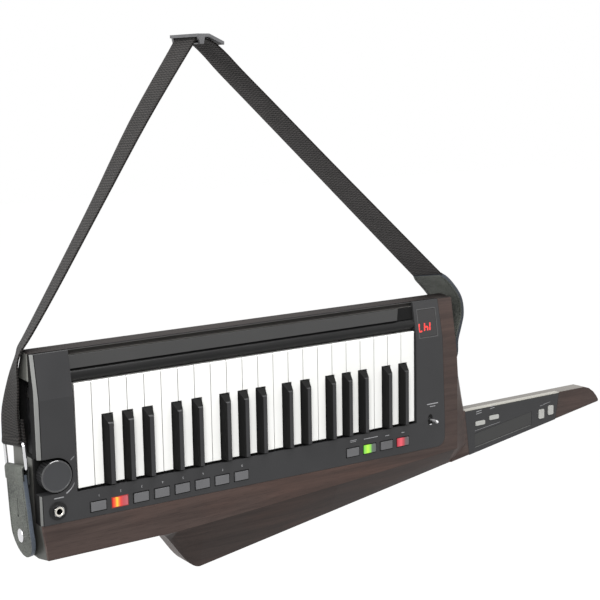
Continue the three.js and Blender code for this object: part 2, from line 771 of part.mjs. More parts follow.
// Windows cut through the wood for the keybed, the battery bay and the sockets
function hollowedBody() {
  let wood = woodenBody().add(neck());
  wood = wood.subtract(slab(panelOutline(seatGap), faceBack - overrun, panelBack + seatGap));
  const cavityLeft = -keyOpeningRoom;
  const cavityRight = keysRight + keyOpeningRoom;
  const cavityTop = railHeight - railRadius;
  const cavityFoot = -buttonZ - buttonPocketHigh / 2;
  const bedRear = bedBack + bedThick + seatGap;
  wood = wood.subtract(box(cavityLeft, cavityRight, faceBack, bedRear, cavityFoot, cavityTop));
  const innerTop = -shoulderZ;
  wood = wood.subtract(box(
    wallThick, keysRight - wallThick, faceBack, shoulderBack - wallThick * 2, cavityFoot, innerTop,
  ));
  // Back opening with a ledge for the cover
  const cover = roundedBox(
    (coverLeft + coverRight) / 2, -(coverTop + coverFoot) / 2,
    coverRight - coverLeft + seatGap * 2, coverFoot - coverTop + seatGap * 2, coverRound,
  );
  wood = wood.subtract(slab(cover, backPlane - coverThick - seatGap, backPlane + overrun));
  wood = wood.subtract(box(
    coverLeft + coverLedge, coverRight - coverLedge, bedBack, backPlane + overrun,
    -coverFoot + coverLedge, -coverTop - coverLedge,
  ));
  // Bores behind the knob and the jack, and the toggle's room
  wood = wood.subtract(roundY(knobX, -knobZ, knobShaft + seatGap, faceBack, knobShaftEnd + seatGap));
  wood = wood.subtract(roundY(jackX, -jackZ, jackBarrel + seatGap, faceBack, jackEnd + seatGap));
  // Connector recess
  wood = wood.subtract(box(
    -leftFace - overrun, -leftFace + recessDepth + plateThick, recessFront, recessBack,
    -recessFoot, recessTop,
  ));
  wood = wood.subtract(box(
    -leftFace, -leftFace + recessDepth + plateThick + socketPocket, recessFront + recessLedge,
    recessBack - recessLedge, -recessFoot + recessLedge, recessTop - recessLedge,
  ));
  // Screw holes of the strap pins
  wood = wood.subtract(roundX(
    strapBack - leftPinSet, -pinZ, pinScrew + seatGap, -leftFace - overrun,
    -leftFace + pinRoot + seatGap,
  ));
  wood = wood.subtract(roundX(
    strapBack, -rightPinZ, pinScrew + seatGap, bodyRight - pinRoot - seatGap,
    bodyRight + flareReach,
  ));
  // Seat of the neck panel
  return wood.subtract(slab(
    neckPanelOutline(seatGap), neckFace - overrun, neckFace + neckPanelThick + seatGap,
  ));
}

addPart('wooden_body', hollowedBody(), finishes.stainedWood);
addPart('front_panel', frontPanel(), finishes.blackPanel);

// Touch strip on the front rail, its right end slanted, and the display in its bed.
// Both lie parallel to the sloped face.
function slopedPlate(low, high, bed, thick, left, right) {
  const rear = bed - seatGap;
  const front = rear - thick;
  return bar([
    [faceY(low) + front, low],
    [faceY(low) + rear, low],
    [faceY(high) + rear, high],
    [faceY(high) + front, high],
  ], left, right);
}

const stripLeft = -keyOpeningRoom + seatGap;
const stripOutline = points([
  [stripLeft, stripLow],
  [stripEnd - stripEndSlant, stripLow],
  [stripEnd, stripHigh],
  [stripLeft, stripHigh],
]);
const strip = slopedPlate(stripLow, stripHigh, stripBed, stripThick, stripLeft, stripEnd);
addPart('touch_strip', strip.intersect(slab(stripOutline, faceBack, panelBack)), finishes.ribbon);

const displayHalf = displayWide / 2 - seatGap;
const display = slopedPlate(
  -displayLow + seatGap,
  displayHigh - seatGap,
  displayBed,
  displayThick,
  displayX - displayHalf,
  displayX + displayHalf,
);
addPart('display_window', display, finishes.smoke);

// Turned pieces: a profile of (radius, depth) about a line along Y
function turned(profile, x, z, sides = roundSides) {
  const outline = profile.map(([radius, y]) => new THREE.Vector2(radius, y));
  const geometry = new THREE.LatheGeometry(outline, sides);
  geometry.translate(x, 0, z);
  const solid = solidOf(geometry);
  if (solid.volume() > 0) return solid;
  const flipped = new THREE.LatheGeometry(outline.reverse(), sides);
  flipped.translate(x, 0, z);
  return solidOf(flipped);
}

// Volume knob: a plain crown, flutes round the rim and a shaft through the panel
const knobTop = faceBack - knobProud;
const knobLevels = [
  [knobTop, knobRadius - edgeBreak, 0],
  [knobTop + edgeBreak, knobRadius, 0],
  [knobTop + edgeBreak + fluteDeep, knobRadius, fluteDeep],
  [knobFoot, knobRadius, fluteDeep],
];
const knobRings = knobLevels.map(([y, radius, deep]) => Array.from({ length: knobFlutes * 2 }, (_, i) => {
  const angle = (i / knobFlutes) * Math.PI;
  const reach = radius - (i % 2) * deep;
  return new THREE.Vector3(knobX + reach * Math.cos(angle), y, -knobZ + reach * Math.sin(angle));
}));
const shaft = roundY(knobX, -knobZ, knobShaft, knobFoot - overrun, knobShaftEnd, smallSides);
addPart('volume_knob', loft(knobRings).add(shaft), finishes.darkPlastic);

// Output jack: threaded barrel through the panel, washer and hexagon nut in front
const jackFront = faceBack - washerThick - nutThick - washerThick / 2;
const jack = turned([
  [0, jackBoreEnd],
  [jackBore, jackBoreEnd],
  [jackBore, jackFront],
  [jackBarrel, jackFront],
  [jackBarrel, faceBack - washerThick],
  [jackWasher, faceBack - washerThick],
  [jackWasher, faceBack - seatGap],
  [jackBarrel, faceBack - seatGap],
  [jackBarrel, jackEnd],
  [0, jackEnd],
], jackX, -jackZ);
const nutHole = roundY(jackX, -jackZ, (jackBore + jackBarrel) / 2, -panelThick, panelThick);
const nutBack = faceBack - washerThick + washerThick / 2;
const nut = roundY(
  jackX, -jackZ, jackNut, nutBack - washerThick / 2 - nutThick, nutBack, 6,
).subtract(nutHole);
addPart('output_jack', jack.add(nut), finishes.chrome);

// Button caps moulded on one springy bank behind the panel
function buttonBank(places) {
  const front = skinBack + bankBack;
  const left = places[0] - buttonWide / 2 - bankMargin;
  const right = places[places.length - 1] + buttonWide / 2 + bankMargin;
  const half = buttonHigh / 2 + bankMargin / 2;
  let bank = box(left, right, front, front + bankThick, -buttonZ - half, -buttonZ + half);
  // Slots between the caps leave each on its own springy arm
  for (let i = 0; i < places.length - 1; i += 1) {
    const middle = (places[i] + places[i + 1]) / 2;
    bank = bank.subtract(box(
      middle - buttonRoom, middle + buttonRoom, front - overrun, front + bankThick + overrun,
      -buttonZ - half + bankMargin / 2, -buttonZ + half + overrun,
    ));
  }
  return bank.add(wasm.Manifold.union(places.map((x) => buttonAt(x, 0))));
}
addPart('program_button_bank', buttonBank(programPlaces), finishes.button);
addPart('function_button_bank', buttonBank(functionPlaces), finishes.button);

// Toggle: a bat on a ball, in the round seat of the panel
const ball = new THREE.SphereGeometry(toggleBall, smallSides, smallSides / 2);
const ballBack = faceBack + toggleBall;
ball.translate(toggleX, ballBack, -toggleZ);
const batEnd = faceBack - toggleLength;
const bat = turned([
  [0, batEnd],
  [toggleTip * 0.7, batEnd],
  [toggleTip, batEnd + toggleTip * 0.6],
  [toggleRoot, faceBack],
  [toggleRoot, ballBack],
  [0, ballBack],
], toggleX, -toggleZ, smallSides);
addPart('toggle_lever', solidOf(ball).add(bat), finishes.chrome);

// Neck panel with its windows, the bed of the short touch strip, and the rubber mat behind
const stepPlaces = [0, 1].map((i) => [stepKeyX + i * stepKeyStepX, -stepKeyZ + i * stepKeyStepZ]);
const neckKeyPlaces = [0, 1].map((i) => [neckKeyX + i * neckKeyStepX, -neckKeyZ + i * neckKeyStepZ]);

function neckCap(x, z, wide, high, grow) {
  const outline = roundedBox(x, z, wide + grow * 2, high + grow * 2, neckKeyRound + grow);
  const front = neckFace - neckKeyProud - (grow ? overrun : 0);
  return slab(outline, front, neckFace + neckPanelSkin + bankBack + (grow ? 0 : matThick));
}
const neckCaps = (grow) => wasm.Manifold.union([
  ...neckKeyPlaces.map(([x, z]) => neckCap(x, z, neckKeyWide, neckKeyHigh, grow)),
  ...stepPlaces.map(([x, z]) => neckCap(x, z, stepKeyWide, stepKeyHigh, grow)),
]);

function shortStripOutline(shrink) {
  const rise = (shortStripRight - shortStripLeft) * shortStripSlopeShare;
  const top = -shortStripTop - shrink;
  const foot = -shortStripTop - shortStripHigh + shrink;
  return points([
    [shortStripLeft + shrink, foot],
    [shortStripRight - shrink, foot + rise],
    [shortStripRight - shrink, top + rise],
    [shortStripLeft + shrink, top],
  ]);
}

const neckPanel = slab(neckPanelOutline(0), neckFace, neckFace + neckPanelThick)
  .subtract(slab(
    neckPanelOutline(-neckPanelSkin), neckFace + neckPanelSkin,
    neckFace + neckPanelThick + overrun,
  ))
  .subtract(neckCaps(neckKeyRoom))
  .subtract(slab(shortStripOutline(0), neckFace - overrun, neckFace + shortStripBed));
addPart('neck_panel', neckPanel, finishes.blackPanel);
const shortStripFront = neckFace + shortStripBed - seatGap - shortStripThick;
addPart(
  'neck_touch_strip',
  slab(shortStripOutline(seatGap), shortStripFront, shortStripFront + shortStripThick),
  finishes.ribbon,
);

const matFront = neckFace + neckPanelSkin + bankBack;
const mat = box(
  neckKeyPlaces[0][0] - neckKeyWide / 2 - neckKeyRoom * 2,
  stepPlaces[1][0] + stepKeyWide / 2 + neckKeyRoom * 2,
  matFront,
  matFront + matThick,
  stepPlaces[0][1] - stepKeyHigh / 2 - neckKeyRoom,
  neckKeyPlaces[1][1] + neckKeyHigh / 2 + neckKeyRoom,
).intersect(slab(neckPanelOutline(-neckPanelSkin - seatGap), matFront - overrun, matFront + overrun));
addPart('neck_button_mat', mat.add(neckCaps(0)), finishes.neckButton);

// Back cover with the battery bay moulded on, and the bay's door on two pivot pins
const coverFront = backPlane - coverThick;
const bayFront = backPlane - bayDepth;
const bayX = bayLeft + bayWide / 2;
const bayZ = -bayTop - bayHigh / 2;
const doorWide = bayWide + doorRim * 2;
const doorHigh = bayHigh + doorRim * 2;
const doorFoot = bayZ - doorHigh / 2;
const doorRadius = doorThick / 2;
const doorPivotY = backPlane - doorRadius;
const doorPivotZ = doorFoot + doorRadius;
const doorSeat = backPlane - doorThick - seatGap;

function backCover() {
  const middle = (coverLeft + coverRight) / 2;
  const high = coverFoot - coverTop;
  let cover = slab(
    roundedBox(middle, -coverTop - high / 2, coverRight - coverLeft, high, coverRound), coverFront,
    backPlane,
  );
  const cupHalf = doorWide / 2 + seatGap + bayWall;
  const cupHigh = doorHigh / 2 + seatGap + bayWall;
  cover = cover.add(box(
    bayX - cupHalf, bayX + cupHalf, doorSeat - bayWall, coverFront + seatGap, bayZ - cupHigh,
    bayZ + cupHigh,
  ));
  const wallHalf = bayWide / 2 + bayWall;
  const wallHigh = bayHigh / 2 + bayWall;
  cover = cover.add(box(
    bayX - wallHalf, bayX + wallHalf, bayFront - bayWall, doorSeat, bayZ - wallHigh,
    bayZ + wallHigh,
  ));
  cover = cover.subtract(box(
    bayX - bayWide / 2, bayX + bayWide / 2, bayFront, backPlane + overrun, bayZ - bayHigh / 2,
    bayZ + bayHigh / 2,
  ));
  const seatHalf = doorWide / 2 + seatGap;
  const seatHigh = doorHigh / 2 + seatGap;
  cover = cover.subtract(box(
    bayX - seatHalf, bayX + seatHalf, doorSeat, backPlane + overrun, bayZ - seatHigh,
    bayZ + seatHigh,
  ));
  const pinHalf = seatHalf + bayWall / 2;
  return cover.subtract(roundX(
    doorPivotY, doorPivotZ, doorRadius / 2 + seatGap, bayX - pinHalf, bayX + pinHalf, barrelSides,
  ));
}
addPart('back_cover', backCover(), finishes.darkPlastic);

function batteryDoor() {
  const front = backPlane - doorThick;
  let door = box(
    bayX - doorWide / 2, bayX + doorWide / 2, front, backPlane, doorPivotZ, bayZ + doorHigh / 2,
  );
  door = door.add(roundX(
    doorPivotY, doorPivotZ, doorRadius, bayX - doorWide / 2, bayX + doorWide / 2, smallSides,
  ));
  const pinHalf = doorWide / 2 + bayWall / 2;
  door = door.add(roundX(
    doorPivotY, doorPivotZ, doorRadius / 2, bayX - pinHalf, bayX + pinHalf, barrelSides,
  ));
  // Finger notch at the free edge
  const notch = roundY(
    bayX, bayZ + doorHigh / 2, doorNotch, backPlane - doorRadius, backPlane + overrun, smallSides,
  );
  return door.subtract(notch);
}
addPart('battery_door', batteryDoor(), finishes.darkPlastic);

// Connector panel in the left recess, with the bodies of its three sockets behind it
function connectorPanel() {
  const front = -leftFace + recessDepth;
  const rear = front + plateThick - seatGap;
  const end = rear + dinDepth;
  let panel = box(
    front, rear, recessFront + seatGap, recessBack - seatGap, -recessFoot + seatGap,
    recessTop - seatGap,
  );
  panel = panel.add(roundX(socketBack, -dinZ, dinOuter, front, end, smallSides * 2));
  panel = panel.add(box(
    front, end, socketBack - usbWide / 2, socketBack + usbWide / 2, -usbZ - usbHigh / 2,
    -usbZ + usbHigh / 2,
  ));
  panel = panel.add(roundX(socketBack, -powerZ, powerOuter, front, end));
  const floor = end - usbWall;
  panel = panel.subtract(roundX(socketBack, -dinZ, dinInner, front - overrun, floor, smallSides * 2));
  const usbHalf = usbWide / 2 - usbWall;
  panel = panel.subtract(box(
    front - overrun, floor, socketBack - usbHalf, socketBack + usbHalf,
    -usbZ - usbHigh / 2 + usbWall, -usbZ + usbHigh / 2 - usbWall,
  ));
  return panel.subtract(roundX(socketBack, -powerZ, powerInner, front - overrun, floor));
}
addPart('connector_panel', connectorPanel(), finishes.darkPlastic);

// Strap. A band follows stations [x, z, twist in degrees, shift to the back]; its width lies
// along Y, turned about the route by the twist, with the rear edge going inwards.
function band(stations, widthAt, thick) {
  const centres = stations.map(([x, z, , back]) => new THREE.Vector3(x, strapBack + (back ?? 0), z));
  const rings = centres.map((centre, i) => {
    const before = centres[Math.max(i - 1, 0)];
    const after = centres[Math.min(i + 1, centres.length - 1)];
    const along = after.clone().sub(before).normalize();
    const wide = new THREE.Vector3(0, 1, 0).projectOnPlane(along).normalize();
    wide.applyAxisAngle(along, THREE.MathUtils.degToRad(stations[i][2] ?? 0));
    const deep = along.clone().cross(wide).multiplyScalar(thick / 2);
    wide.multiplyScalar(widthAt(i) / 2);
    return [
      centre.clone().add(wide).add(deep),
      centre.clone().add(wide).sub(deep),
      centre.clone().sub(wide).sub(deep),
      centre.clone().sub(wide).add(deep),
    ];
  });
  return loft(rings);
}

const along = (from, to, share) => from + (to - from) * share;
const ringUpper = -ringTop - wireRadius;
const ringLower = -ringTop - ringHigh + wireRadius;
const eyeRadius = wireRadius + seatGap + eyeWall;

// Leather end on the left pin: an eye round the ring's lower bar, a waisted tab and a round end
const tabRound = leatherWide / 2;
const leftTabShares = [[0, 0.84], [0.25, 0.86], [0.55, 0.97], [1, 1]];
const tabCentre = -leatherFoot + tabRound;
const leftTab = leftTabShares.map(([down, wide]) => ({
  station: [along(ringX, leatherX, down), along(ringLower, tabCentre, down), 0],
  wide: wide * leatherWide,
}));
const endShares = [0.3, 0.55, 0.75, 0.9, 0.98];
for (const share of endShares) {
  leftTab.push({
    station: [leatherX, tabCentre - share * tabRound, 0],
    wide: leatherWide * Math.sqrt(1 - share ** 2),
  });
}
const eyeAt = (z, wide) => roundAlongY(ringX, z, eyeRadius, wide).subtract(roundAlongY(
  ringX, z, wireRadius + seatGap, wide + overrun,
));
function roundAlongY(x, z, radius, wide) {
  return roundY(x, z, radius, strapBack - wide / 2, strapBack + wide / 2, smallSides);
}
const ringBore = (z) => roundAlongY(ringX, z, wireRadius + seatGap, leatherWide + overrun);
// The ring and the leather swing back about the left pin
const leaned = (solid) => solid
  .translate([0, -strapBack, pinZ])
  .rotate([-leanDegrees, 0, 0])
  .translate([0, strapBack - leftPinSet, -pinZ]);
const leftEnd = band(leftTab.map((row) => row.station), (i) => leftTab[i].wide, leatherThick)
  .add(eyeAt(ringLower, leftTab[0].wide))
  .subtract(ringBore(ringLower))
  .subtract(roundX(strapBack, -pinZ, pinHole, leatherX - leatherThick * 2, leatherX + leatherThick * 2));
addPart('strap_end_left', leaned(leftEnd), finishes.leather);

// Ring: a rectangle of round wire
function ring() {
  const front = strapBack - ringWide / 2;
  const rear = strapBack + ringWide / 2;
  const parts = [];
  for (const z of [ringUpper, ringLower]) {
    parts.push(roundY(ringX, z, wireRadius, front, rear, smallSides));
    for (const y of [front, rear]) {
      const corner = new THREE.SphereGeometry(wireRadius, smallSides, smallSides / 2);
      corner.translate(ringX, y, z);
      parts.push(solidOf(corner));
    }
  }
  for (const y of [front, rear]) {
    const side = new THREE.CylinderGeometry(wireRadius, wireRadius, ringUpper - ringLower, smallSides);
    side.rotateX(Math.PI / 2);
    side.translate(ringX, y, (ringUpper + ringLower) / 2);
    parts.push(solidOf(side));
  }
  return wasm.Manifold.union(parts);
}
addPart('strap_ring', leaned(ring()), finishes.chrome);

// Webbing from the ring, past the body's top left corner, over the slider's bar and down
const bodyTop = topRise + topRiseRear;
const webRise = apexZ - bodyTop;
const lean = THREE.MathUtils.degToRad(leanDegrees);
const hung = (high) => [
  ringX, -pinZ + high * Math.cos(lean), 0, high * Math.sin(lean) - leftPinSet,
];
const hangHigh = pinZ - ringTop;
const leanBack = hangHigh * Math.sin(lean) - leftPinSet;
const leftLow = [
  hung(hangHigh),
  hung(hangHigh + eyeRadius * 2),
  [ringX + webThick / 2, ringUpper / 2, -3, leanBack * 1.2],
  [ringX, 0, -12, leanBack],
  [ringX + webThick, bodyTop * 0.62, -23, leanBack * 0.65],
  [-leftFace + seatGap * 2, bodyTop, -26, leanBack * 0.45],
];
const rightEndX = bodyRight - webEndSet;
const rightEndZ = bodyTop * 1.66;
const leftRunShares = [
  [0.058, 0.045, -25, 0.3],
  [0.195, 0.185, -16, 0.15],
  [0.45, 0.46, -9, 0.05],
  [0.7, 0.73, -5, 0],
  [0.955, 0.975, -2, 0],
];
const leftRun = leftRunShares.map(([x, z, twist, back]) => [
  along(-leftFace, apexX, x), bodyTop + z * webRise, twist, leanBack * back,
]);
const topArc = [[apexX - webThick, apexZ + webThick, 0], [apexX + webThick * 2, apexZ + webThick, 0]];
const rightRunShares = [
  [0.0512, 0.9927, 0],
  [0.0964, 0.952, -1],
  [0.1566, 0.885, -2],
  [0.2771, 0.7585, -3],
  [0.518, 0.505, -5],
  [0.759, 0.2525, -8],
  [1, 0, -11],
];
const rightRun = rightRunShares.map(([x, z, twist]) => [
  along(apexX, rightEndX, x), along(rightEndZ, apexZ, z), twist,
]);
const webStations = [...leftLow, ...leftRun, ...topArc, ...rightRun];
const webbing = band(webStations, () => webWidth, webThick)
  .add(leaned(eyeAt(ringUpper, webWidth)))
  .subtract(leaned(ringBore(ringUpper)));
addPart('strap_webbing', webbing, finishes.webbing);

// Slider: a bent top plate, two cheeks and the bar that the webbing passes over
function slider() {
  const under = apexZ + webThick * 1.5 + seatGap;
  const half = sliderWide / 2;
  const plateShares = [[-0.19, 0], [0.31, 0], [0.92, -0.28]];
  const lower = plateShares.map(([x, z]) => [apexX + x * half, under + z * half]);
  const upper = plateShares.map(([x, z]) => [apexX + x * half, under + z * half + sliderPlate]).reverse();
  const plate = slab(points([...lower, ...upper]), strapBack - half, strapBack + half);
  const barZ = apexZ - webThick;
  const cheekOutline = points([
    [apexX - sliderBar, under + sliderPlate],
    [apexX - sliderBar / 2, barZ - wireRadius],
    [apexX + sliderBar / 2, barZ - wireRadius],
    [apexX + sliderBar, under + sliderPlate],
  ]);
  const cheekThick = half - webWidth / 2 - wireRadius;
  const cheeks = [
    strapBack - half, strapBack + half - cheekThick,
  ].map((y) => slab(cheekOutline, y, y + cheekThick));
  const rod = roundY(apexX, barZ, wireRadius, strapBack - half, strapBack + half, smallSides);
  return wasm.Manifold.union([plate, ...cheeks, rod]);
}
addPart('strap_slider', slider(), finishes.slider);

// Leather end on the right: from the webbing over the corner to the right pin
const rightWallX = bodyRight + rightPinWall;
const rightLeatherX = rightWallX + pinFlangeThick + leatherThick;
const rightTabStations = [
  [rightEndX + seatGap * 2, rightEndZ - seatGap * 2, -11],
  [along(rightEndX, rightLeatherX, 0.57), along(rightEndZ, 0, 0.24), -11],
  [along(rightEndX, rightLeatherX, 1.035), along(rightEndZ, 0, 0.51), -9],
  [along(rightEndX, rightLeatherX, 1.2), along(rightEndZ, 0, 0.8), -5],
  [along(rightEndX, rightLeatherX, 1.14), along(rightEndZ, 0, 1.05), -2],
  [rightLeatherX, -rightPinZ * 0.6, 0],
  [rightLeatherX, -rightPinZ, 0],
];
const rightTab = rightTabStations.map((station) => ({ station, wide: rightLeatherWide }));
for (const share of endShares) {
  const round = rightLeatherWide / 2;
  rightTab.push({
    station: [rightLeatherX + share * overrun, -rightPinZ - share * round, 0],
    wide: rightLeatherWide * Math.sqrt(1 - share ** 2),
  });
}
const rightEnd = band(rightTab.map((row) => row.station), (i) => rightTab[i].wide, leatherThick)
  .subtract(roundX(
    strapBack, -rightPinZ, pinHole, rightLeatherX - leatherThick * 2,
    rightLeatherX + leatherThick * 2,
  ));
addPart('strap_end_right', rightEnd, finishes.leather);

// Strap pin: flange, waisted neck, round head and the screw that holds it
function strapPin(wallX, back, z, outward) {
  const profile = [
    [0, -pinRoot],
    [pinScrew, -pinRoot],
    [pinScrew, seatGap],
    [pinFlange, seatGap],
    [pinFlange, pinFlangeThick],
    [pinNeck, pinFlangeThick + pinNeck / 2],
    [pinNeck, pinNeckEnd - pinNeck / 4],
    [pinHead, pinNeckEnd],
    [pinHead, pinNeckEnd + pinHeadThick / 2],
    [pinHead / 2, pinNeckEnd + pinHeadThick],
    [0, pinNeckEnd + pinHeadThick],
  ];
  const pin = turned(profile, 0, 0, smallSides);
  return pin.rotate([0, 0, outward > 0 ? -90 : 90]).translate([wallX, back, z]);
}
addPart('strap_pin_left', strapPin(-leftFace, strapBack - leftPinSet, -pinZ, -1), finishes.chrome);
addPart('strap_pin_right', strapPin(rightWallX, strapBack, -rightPinZ, 1), finishes.chrome);

export default instrument;
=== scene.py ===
import math

import bmesh
import bpy
from mathutils import Matrix, Vector


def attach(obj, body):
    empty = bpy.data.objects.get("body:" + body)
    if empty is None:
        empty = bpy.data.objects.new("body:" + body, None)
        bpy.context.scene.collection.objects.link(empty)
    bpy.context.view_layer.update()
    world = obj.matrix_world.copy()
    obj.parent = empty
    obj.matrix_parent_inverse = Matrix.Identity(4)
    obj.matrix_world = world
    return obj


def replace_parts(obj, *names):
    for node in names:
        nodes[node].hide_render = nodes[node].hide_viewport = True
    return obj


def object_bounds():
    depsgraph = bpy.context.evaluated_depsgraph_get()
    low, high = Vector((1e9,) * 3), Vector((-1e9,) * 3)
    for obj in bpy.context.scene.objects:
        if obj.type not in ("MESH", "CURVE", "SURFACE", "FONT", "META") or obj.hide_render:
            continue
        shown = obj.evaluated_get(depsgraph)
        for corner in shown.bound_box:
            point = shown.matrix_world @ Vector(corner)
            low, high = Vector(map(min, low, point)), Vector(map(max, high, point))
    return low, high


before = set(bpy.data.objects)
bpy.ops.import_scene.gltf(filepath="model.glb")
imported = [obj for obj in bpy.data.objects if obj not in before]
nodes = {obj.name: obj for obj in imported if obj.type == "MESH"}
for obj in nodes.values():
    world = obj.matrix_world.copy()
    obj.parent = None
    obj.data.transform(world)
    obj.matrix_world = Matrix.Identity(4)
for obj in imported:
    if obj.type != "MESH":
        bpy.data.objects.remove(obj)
cadLow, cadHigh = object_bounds()
scene = bpy.context.scene
scene.view_settings.view_transform = "Standard"
print("frame loaded:", len(nodes), "nodes")

# Places are given in millimetres from the top left corner of the white keys:
# x along the keys, y towards the back, z up
keyCorner = Vector((-0.168, -0.033, -0.350))


def at(x, y, z):
    return keyCorner + Vector((x, y, z)) / 1000


# The front panel's face falls back above the keys' front line
panelFace = {"front": -3.0, "slopeFrom": -12.0, "slopeBack": 8.0, "slopeHigh": 47.0}
neckFace = 9.0


def faceDepth(z):
    above = max(0.0, z - panelFace["slopeFrom"])
    return panelFace["front"] + above * panelFace["slopeBack"] / panelFace["slopeHigh"]


# Camera: a long lens from the left, a little above
cameraSetup = {
    "place": (-561.32, -1257.15, 312.94),
    "right": (0.82752, -0.56117, -0.01728),
    "up": (0.10755, 0.12824, 0.98589),
    "lens": 80.49,
    "sensor": 36.0,
    "clip": (0.05, 30),
}


def makeCamera(setup):
    data = bpy.data.cameras.new("camera")
    data.lens = setup["lens"]
    data.sensor_width = setup["sensor"]
    data.clip_start, data.clip_end = setup["clip"]
    camera = bpy.data.objects.new("camera", data)
    scene.collection.objects.link(camera)
    right = Vector(setup["right"]).normalized()
    up = Vector(setup["up"])
    back = right.cross(up).normalized()
    up = back.cross(right)
    turn = Matrix((right, up, back)).transposed().to_4x4()
    camera.matrix_world = Matrix.Translation(at(*setup["place"])) @ turn
    scene.camera = camera


makeCamera(cameraSetup)


# Shader groups that several finishes share
def newGroup(name, inputs, outputs):
    group = bpy.data.node_groups.new(name, "ShaderNodeTree")
    for label, kind, value in inputs:
        socket = group.interface.new_socket(name=label, in_out="INPUT", socket_type=kind)
        if value is not None:
            socket.default_value = value
    for label, kind in outputs:
        group.interface.new_socket(name=label, in_out="OUTPUT", socket_type=kind)
    entry = group.nodes.new("NodeGroupInput")
    leave = group.nodes.new("NodeGroupOutput")
    return group, entry, leave


def addNode(tree, kind, **values):
    node = tree.nodes.new(kind)
    for key, value in values.items():
        if hasattr(node, key) and key not in node.inputs:
            setattr(node, key, value)
        else:
            node.inputs[key].default_value = value
    return node


def sums(tree, operation, a, b=None, c=None):
    # A Math node whose inputs are numbers or sockets
    node = addNode(tree, "ShaderNodeMath", operation=operation)
    for place, value in enumerate((a, b, c)):
        if isinstance(value, (int, float)):
            node.inputs[place].default_value = value
        elif value is not None:
            tree.links.new(value, node.inputs[place])
    return node.outputs[0]


def mapped(tree, value, fromLow=0.0, fromHigh=1.0, toLow=0.0, toHigh=1.0):
    # A value carried from one range to another
    node = tree.nodes.new("ShaderNodeMapRange")
    limits = (("From Min", fromLow), ("From Max", fromHigh), ("To Min", toLow), ("To Max", toHigh))
    for label, limit in limits:
        node.inputs[label].default_value = limit
    tree.links.new(value, node.inputs["Value"])
    return node.outputs["Result"]


def mixed(tree, factor, a, b, blend="MIX"):
    # Two colours mixed, given as sockets or as plain values
    node = addNode(tree, "ShaderNodeMix", data_type="RGBA", blend_type=blend)
    for label, value in (("Factor", factor), ("A", a), ("B", b)):
        if isinstance(value, bpy.types.NodeSocket):
            tree.links.new(value, node.inputs[label])
        else:
            node.inputs[label].default_value = value
    return node.outputs["Result"]


def objectPlace(tree):
    return tree.nodes.new("ShaderNodeTexCoord").outputs["Object"]


def splitPlace(tree, place):
    split = tree.nodes.new("ShaderNodeSeparateXYZ")
    tree.links.new(place, split.inputs[0])
    return split.outputs


def makeMottle():
    # Soft clouds and a fine grain for mouldings, paint and skin
    group, entry, leave = newGroup(
        "mottle",
        [("Vector", "NodeSocketVector", None), ("Cloud Scale", "NodeSocketFloat", 9.0),
         ("Grain Scale", "NodeSocketFloat", 900.0), ("Contrast", "NodeSocketFloat", 1.0)],
        [("Cloud", "NodeSocketFloat"), ("Grain", "NodeSocketFloat")])
    cloud = addNode(group, "ShaderNodeTexNoise", Detail=3.0, Roughness=0.55)
    grain = addNode(group, "ShaderNodeTexNoise", Detail=2.0, Roughness=0.6)
    link = group.links.new
    link(entry.outputs["Vector"], cloud.inputs["Vector"])
    link(entry.outputs["Vector"], grain.inputs["Vector"])
    link(entry.outputs["Cloud Scale"], cloud.inputs["Scale"])
    link(entry.outputs["Grain Scale"], grain.inputs["Scale"])
    centred = sums(group, "SUBTRACT", cloud.outputs["Fac"], 0.5)
    spread = sums(group, "MULTIPLY_ADD", centred, entry.outputs["Contrast"], 0.5)
    link(spread, leave.inputs["Cloud"])
    link(grain.outputs["Fac"], leave.inputs["Grain"])
    return group


creaseWide = 0.35  # as a share of a pebble


def makePebble():
    # Rounded cells with creases between them, for leather and soft rubber
    group, entry, leave = newGroup(
        "pebble",
        [("Vector", "NodeSocketVector", None), ("Scale", "NodeSocketFloat", 700.0)],
        [("Height", "NodeSocketFloat"), ("Crease", "NodeSocketFloat")])
    cells = addNode(group, "ShaderNodeTexVoronoi", feature="DISTANCE_TO_EDGE")
    link = group.links.new
    link(entry.outputs["Vector"], cells.inputs["Vector"])
    link(entry.outputs["Scale"], cells.inputs["Scale"])
    rise = mapped(group, cells.outputs["Distance"], fromHigh=creaseWide)
    link(rise, leave.inputs["Height"])
    link(sums(group, "SUBTRACT", 1.0, rise), leave.inputs["Crease"])
    return group


mottle = makeMottle()
pebble = makePebble()


# Finishes
def newFinish(name, roughness=0.5, metallic=0.0, specular=0.5, coat=0.0):
    finish = bpy.data.materials.new(name)
    finish.use_nodes = True
    shader = finish.node_tree.nodes["Principled BSDF"]
    shader.inputs["Roughness"].default_value = roughness
    shader.inputs["Metallic"].default_value = metallic
    shader.inputs["Specular IOR Level"].default_value = specular
    shader.inputs["Coat Weight"].default_value = coat
    return finish, finish.node_tree, shader


def placeGroup(tree, group, source, **values):
    node = tree.nodes.new("ShaderNodeGroup")
    node.node_tree = group
    for key, value in values.items():
        node.inputs[key.replace("_", " ")].default_value = value
    tree.links.new(source, node.inputs["Vector"])
    return node


def twoTone(tree, mask, dark, light, low=0.0, high=1.0):
    ramp = tree.nodes.new("ShaderNodeValToRGB")
    ramp.color_ramp.elements[0].position = low
    ramp.color_ramp.elements[0].color = (*dark, 1)
    ramp.color_ramp.elements[1].position = high
    ramp.color_ramp.elements[1].color = (*light, 1)
    tree.links.new(mask, ramp.inputs["Fac"])
    return ramp.outputs["Color"]


def addBump(tree, shader, height, strength, distance):
    bump = addNode(tree, "ShaderNodeBump", Strength=strength, Distance=distance)
    tree.links.new(height, bump.inputs["Height"])
    tree.links.new(bump.outputs["Normal"], shader.inputs["Normal"])


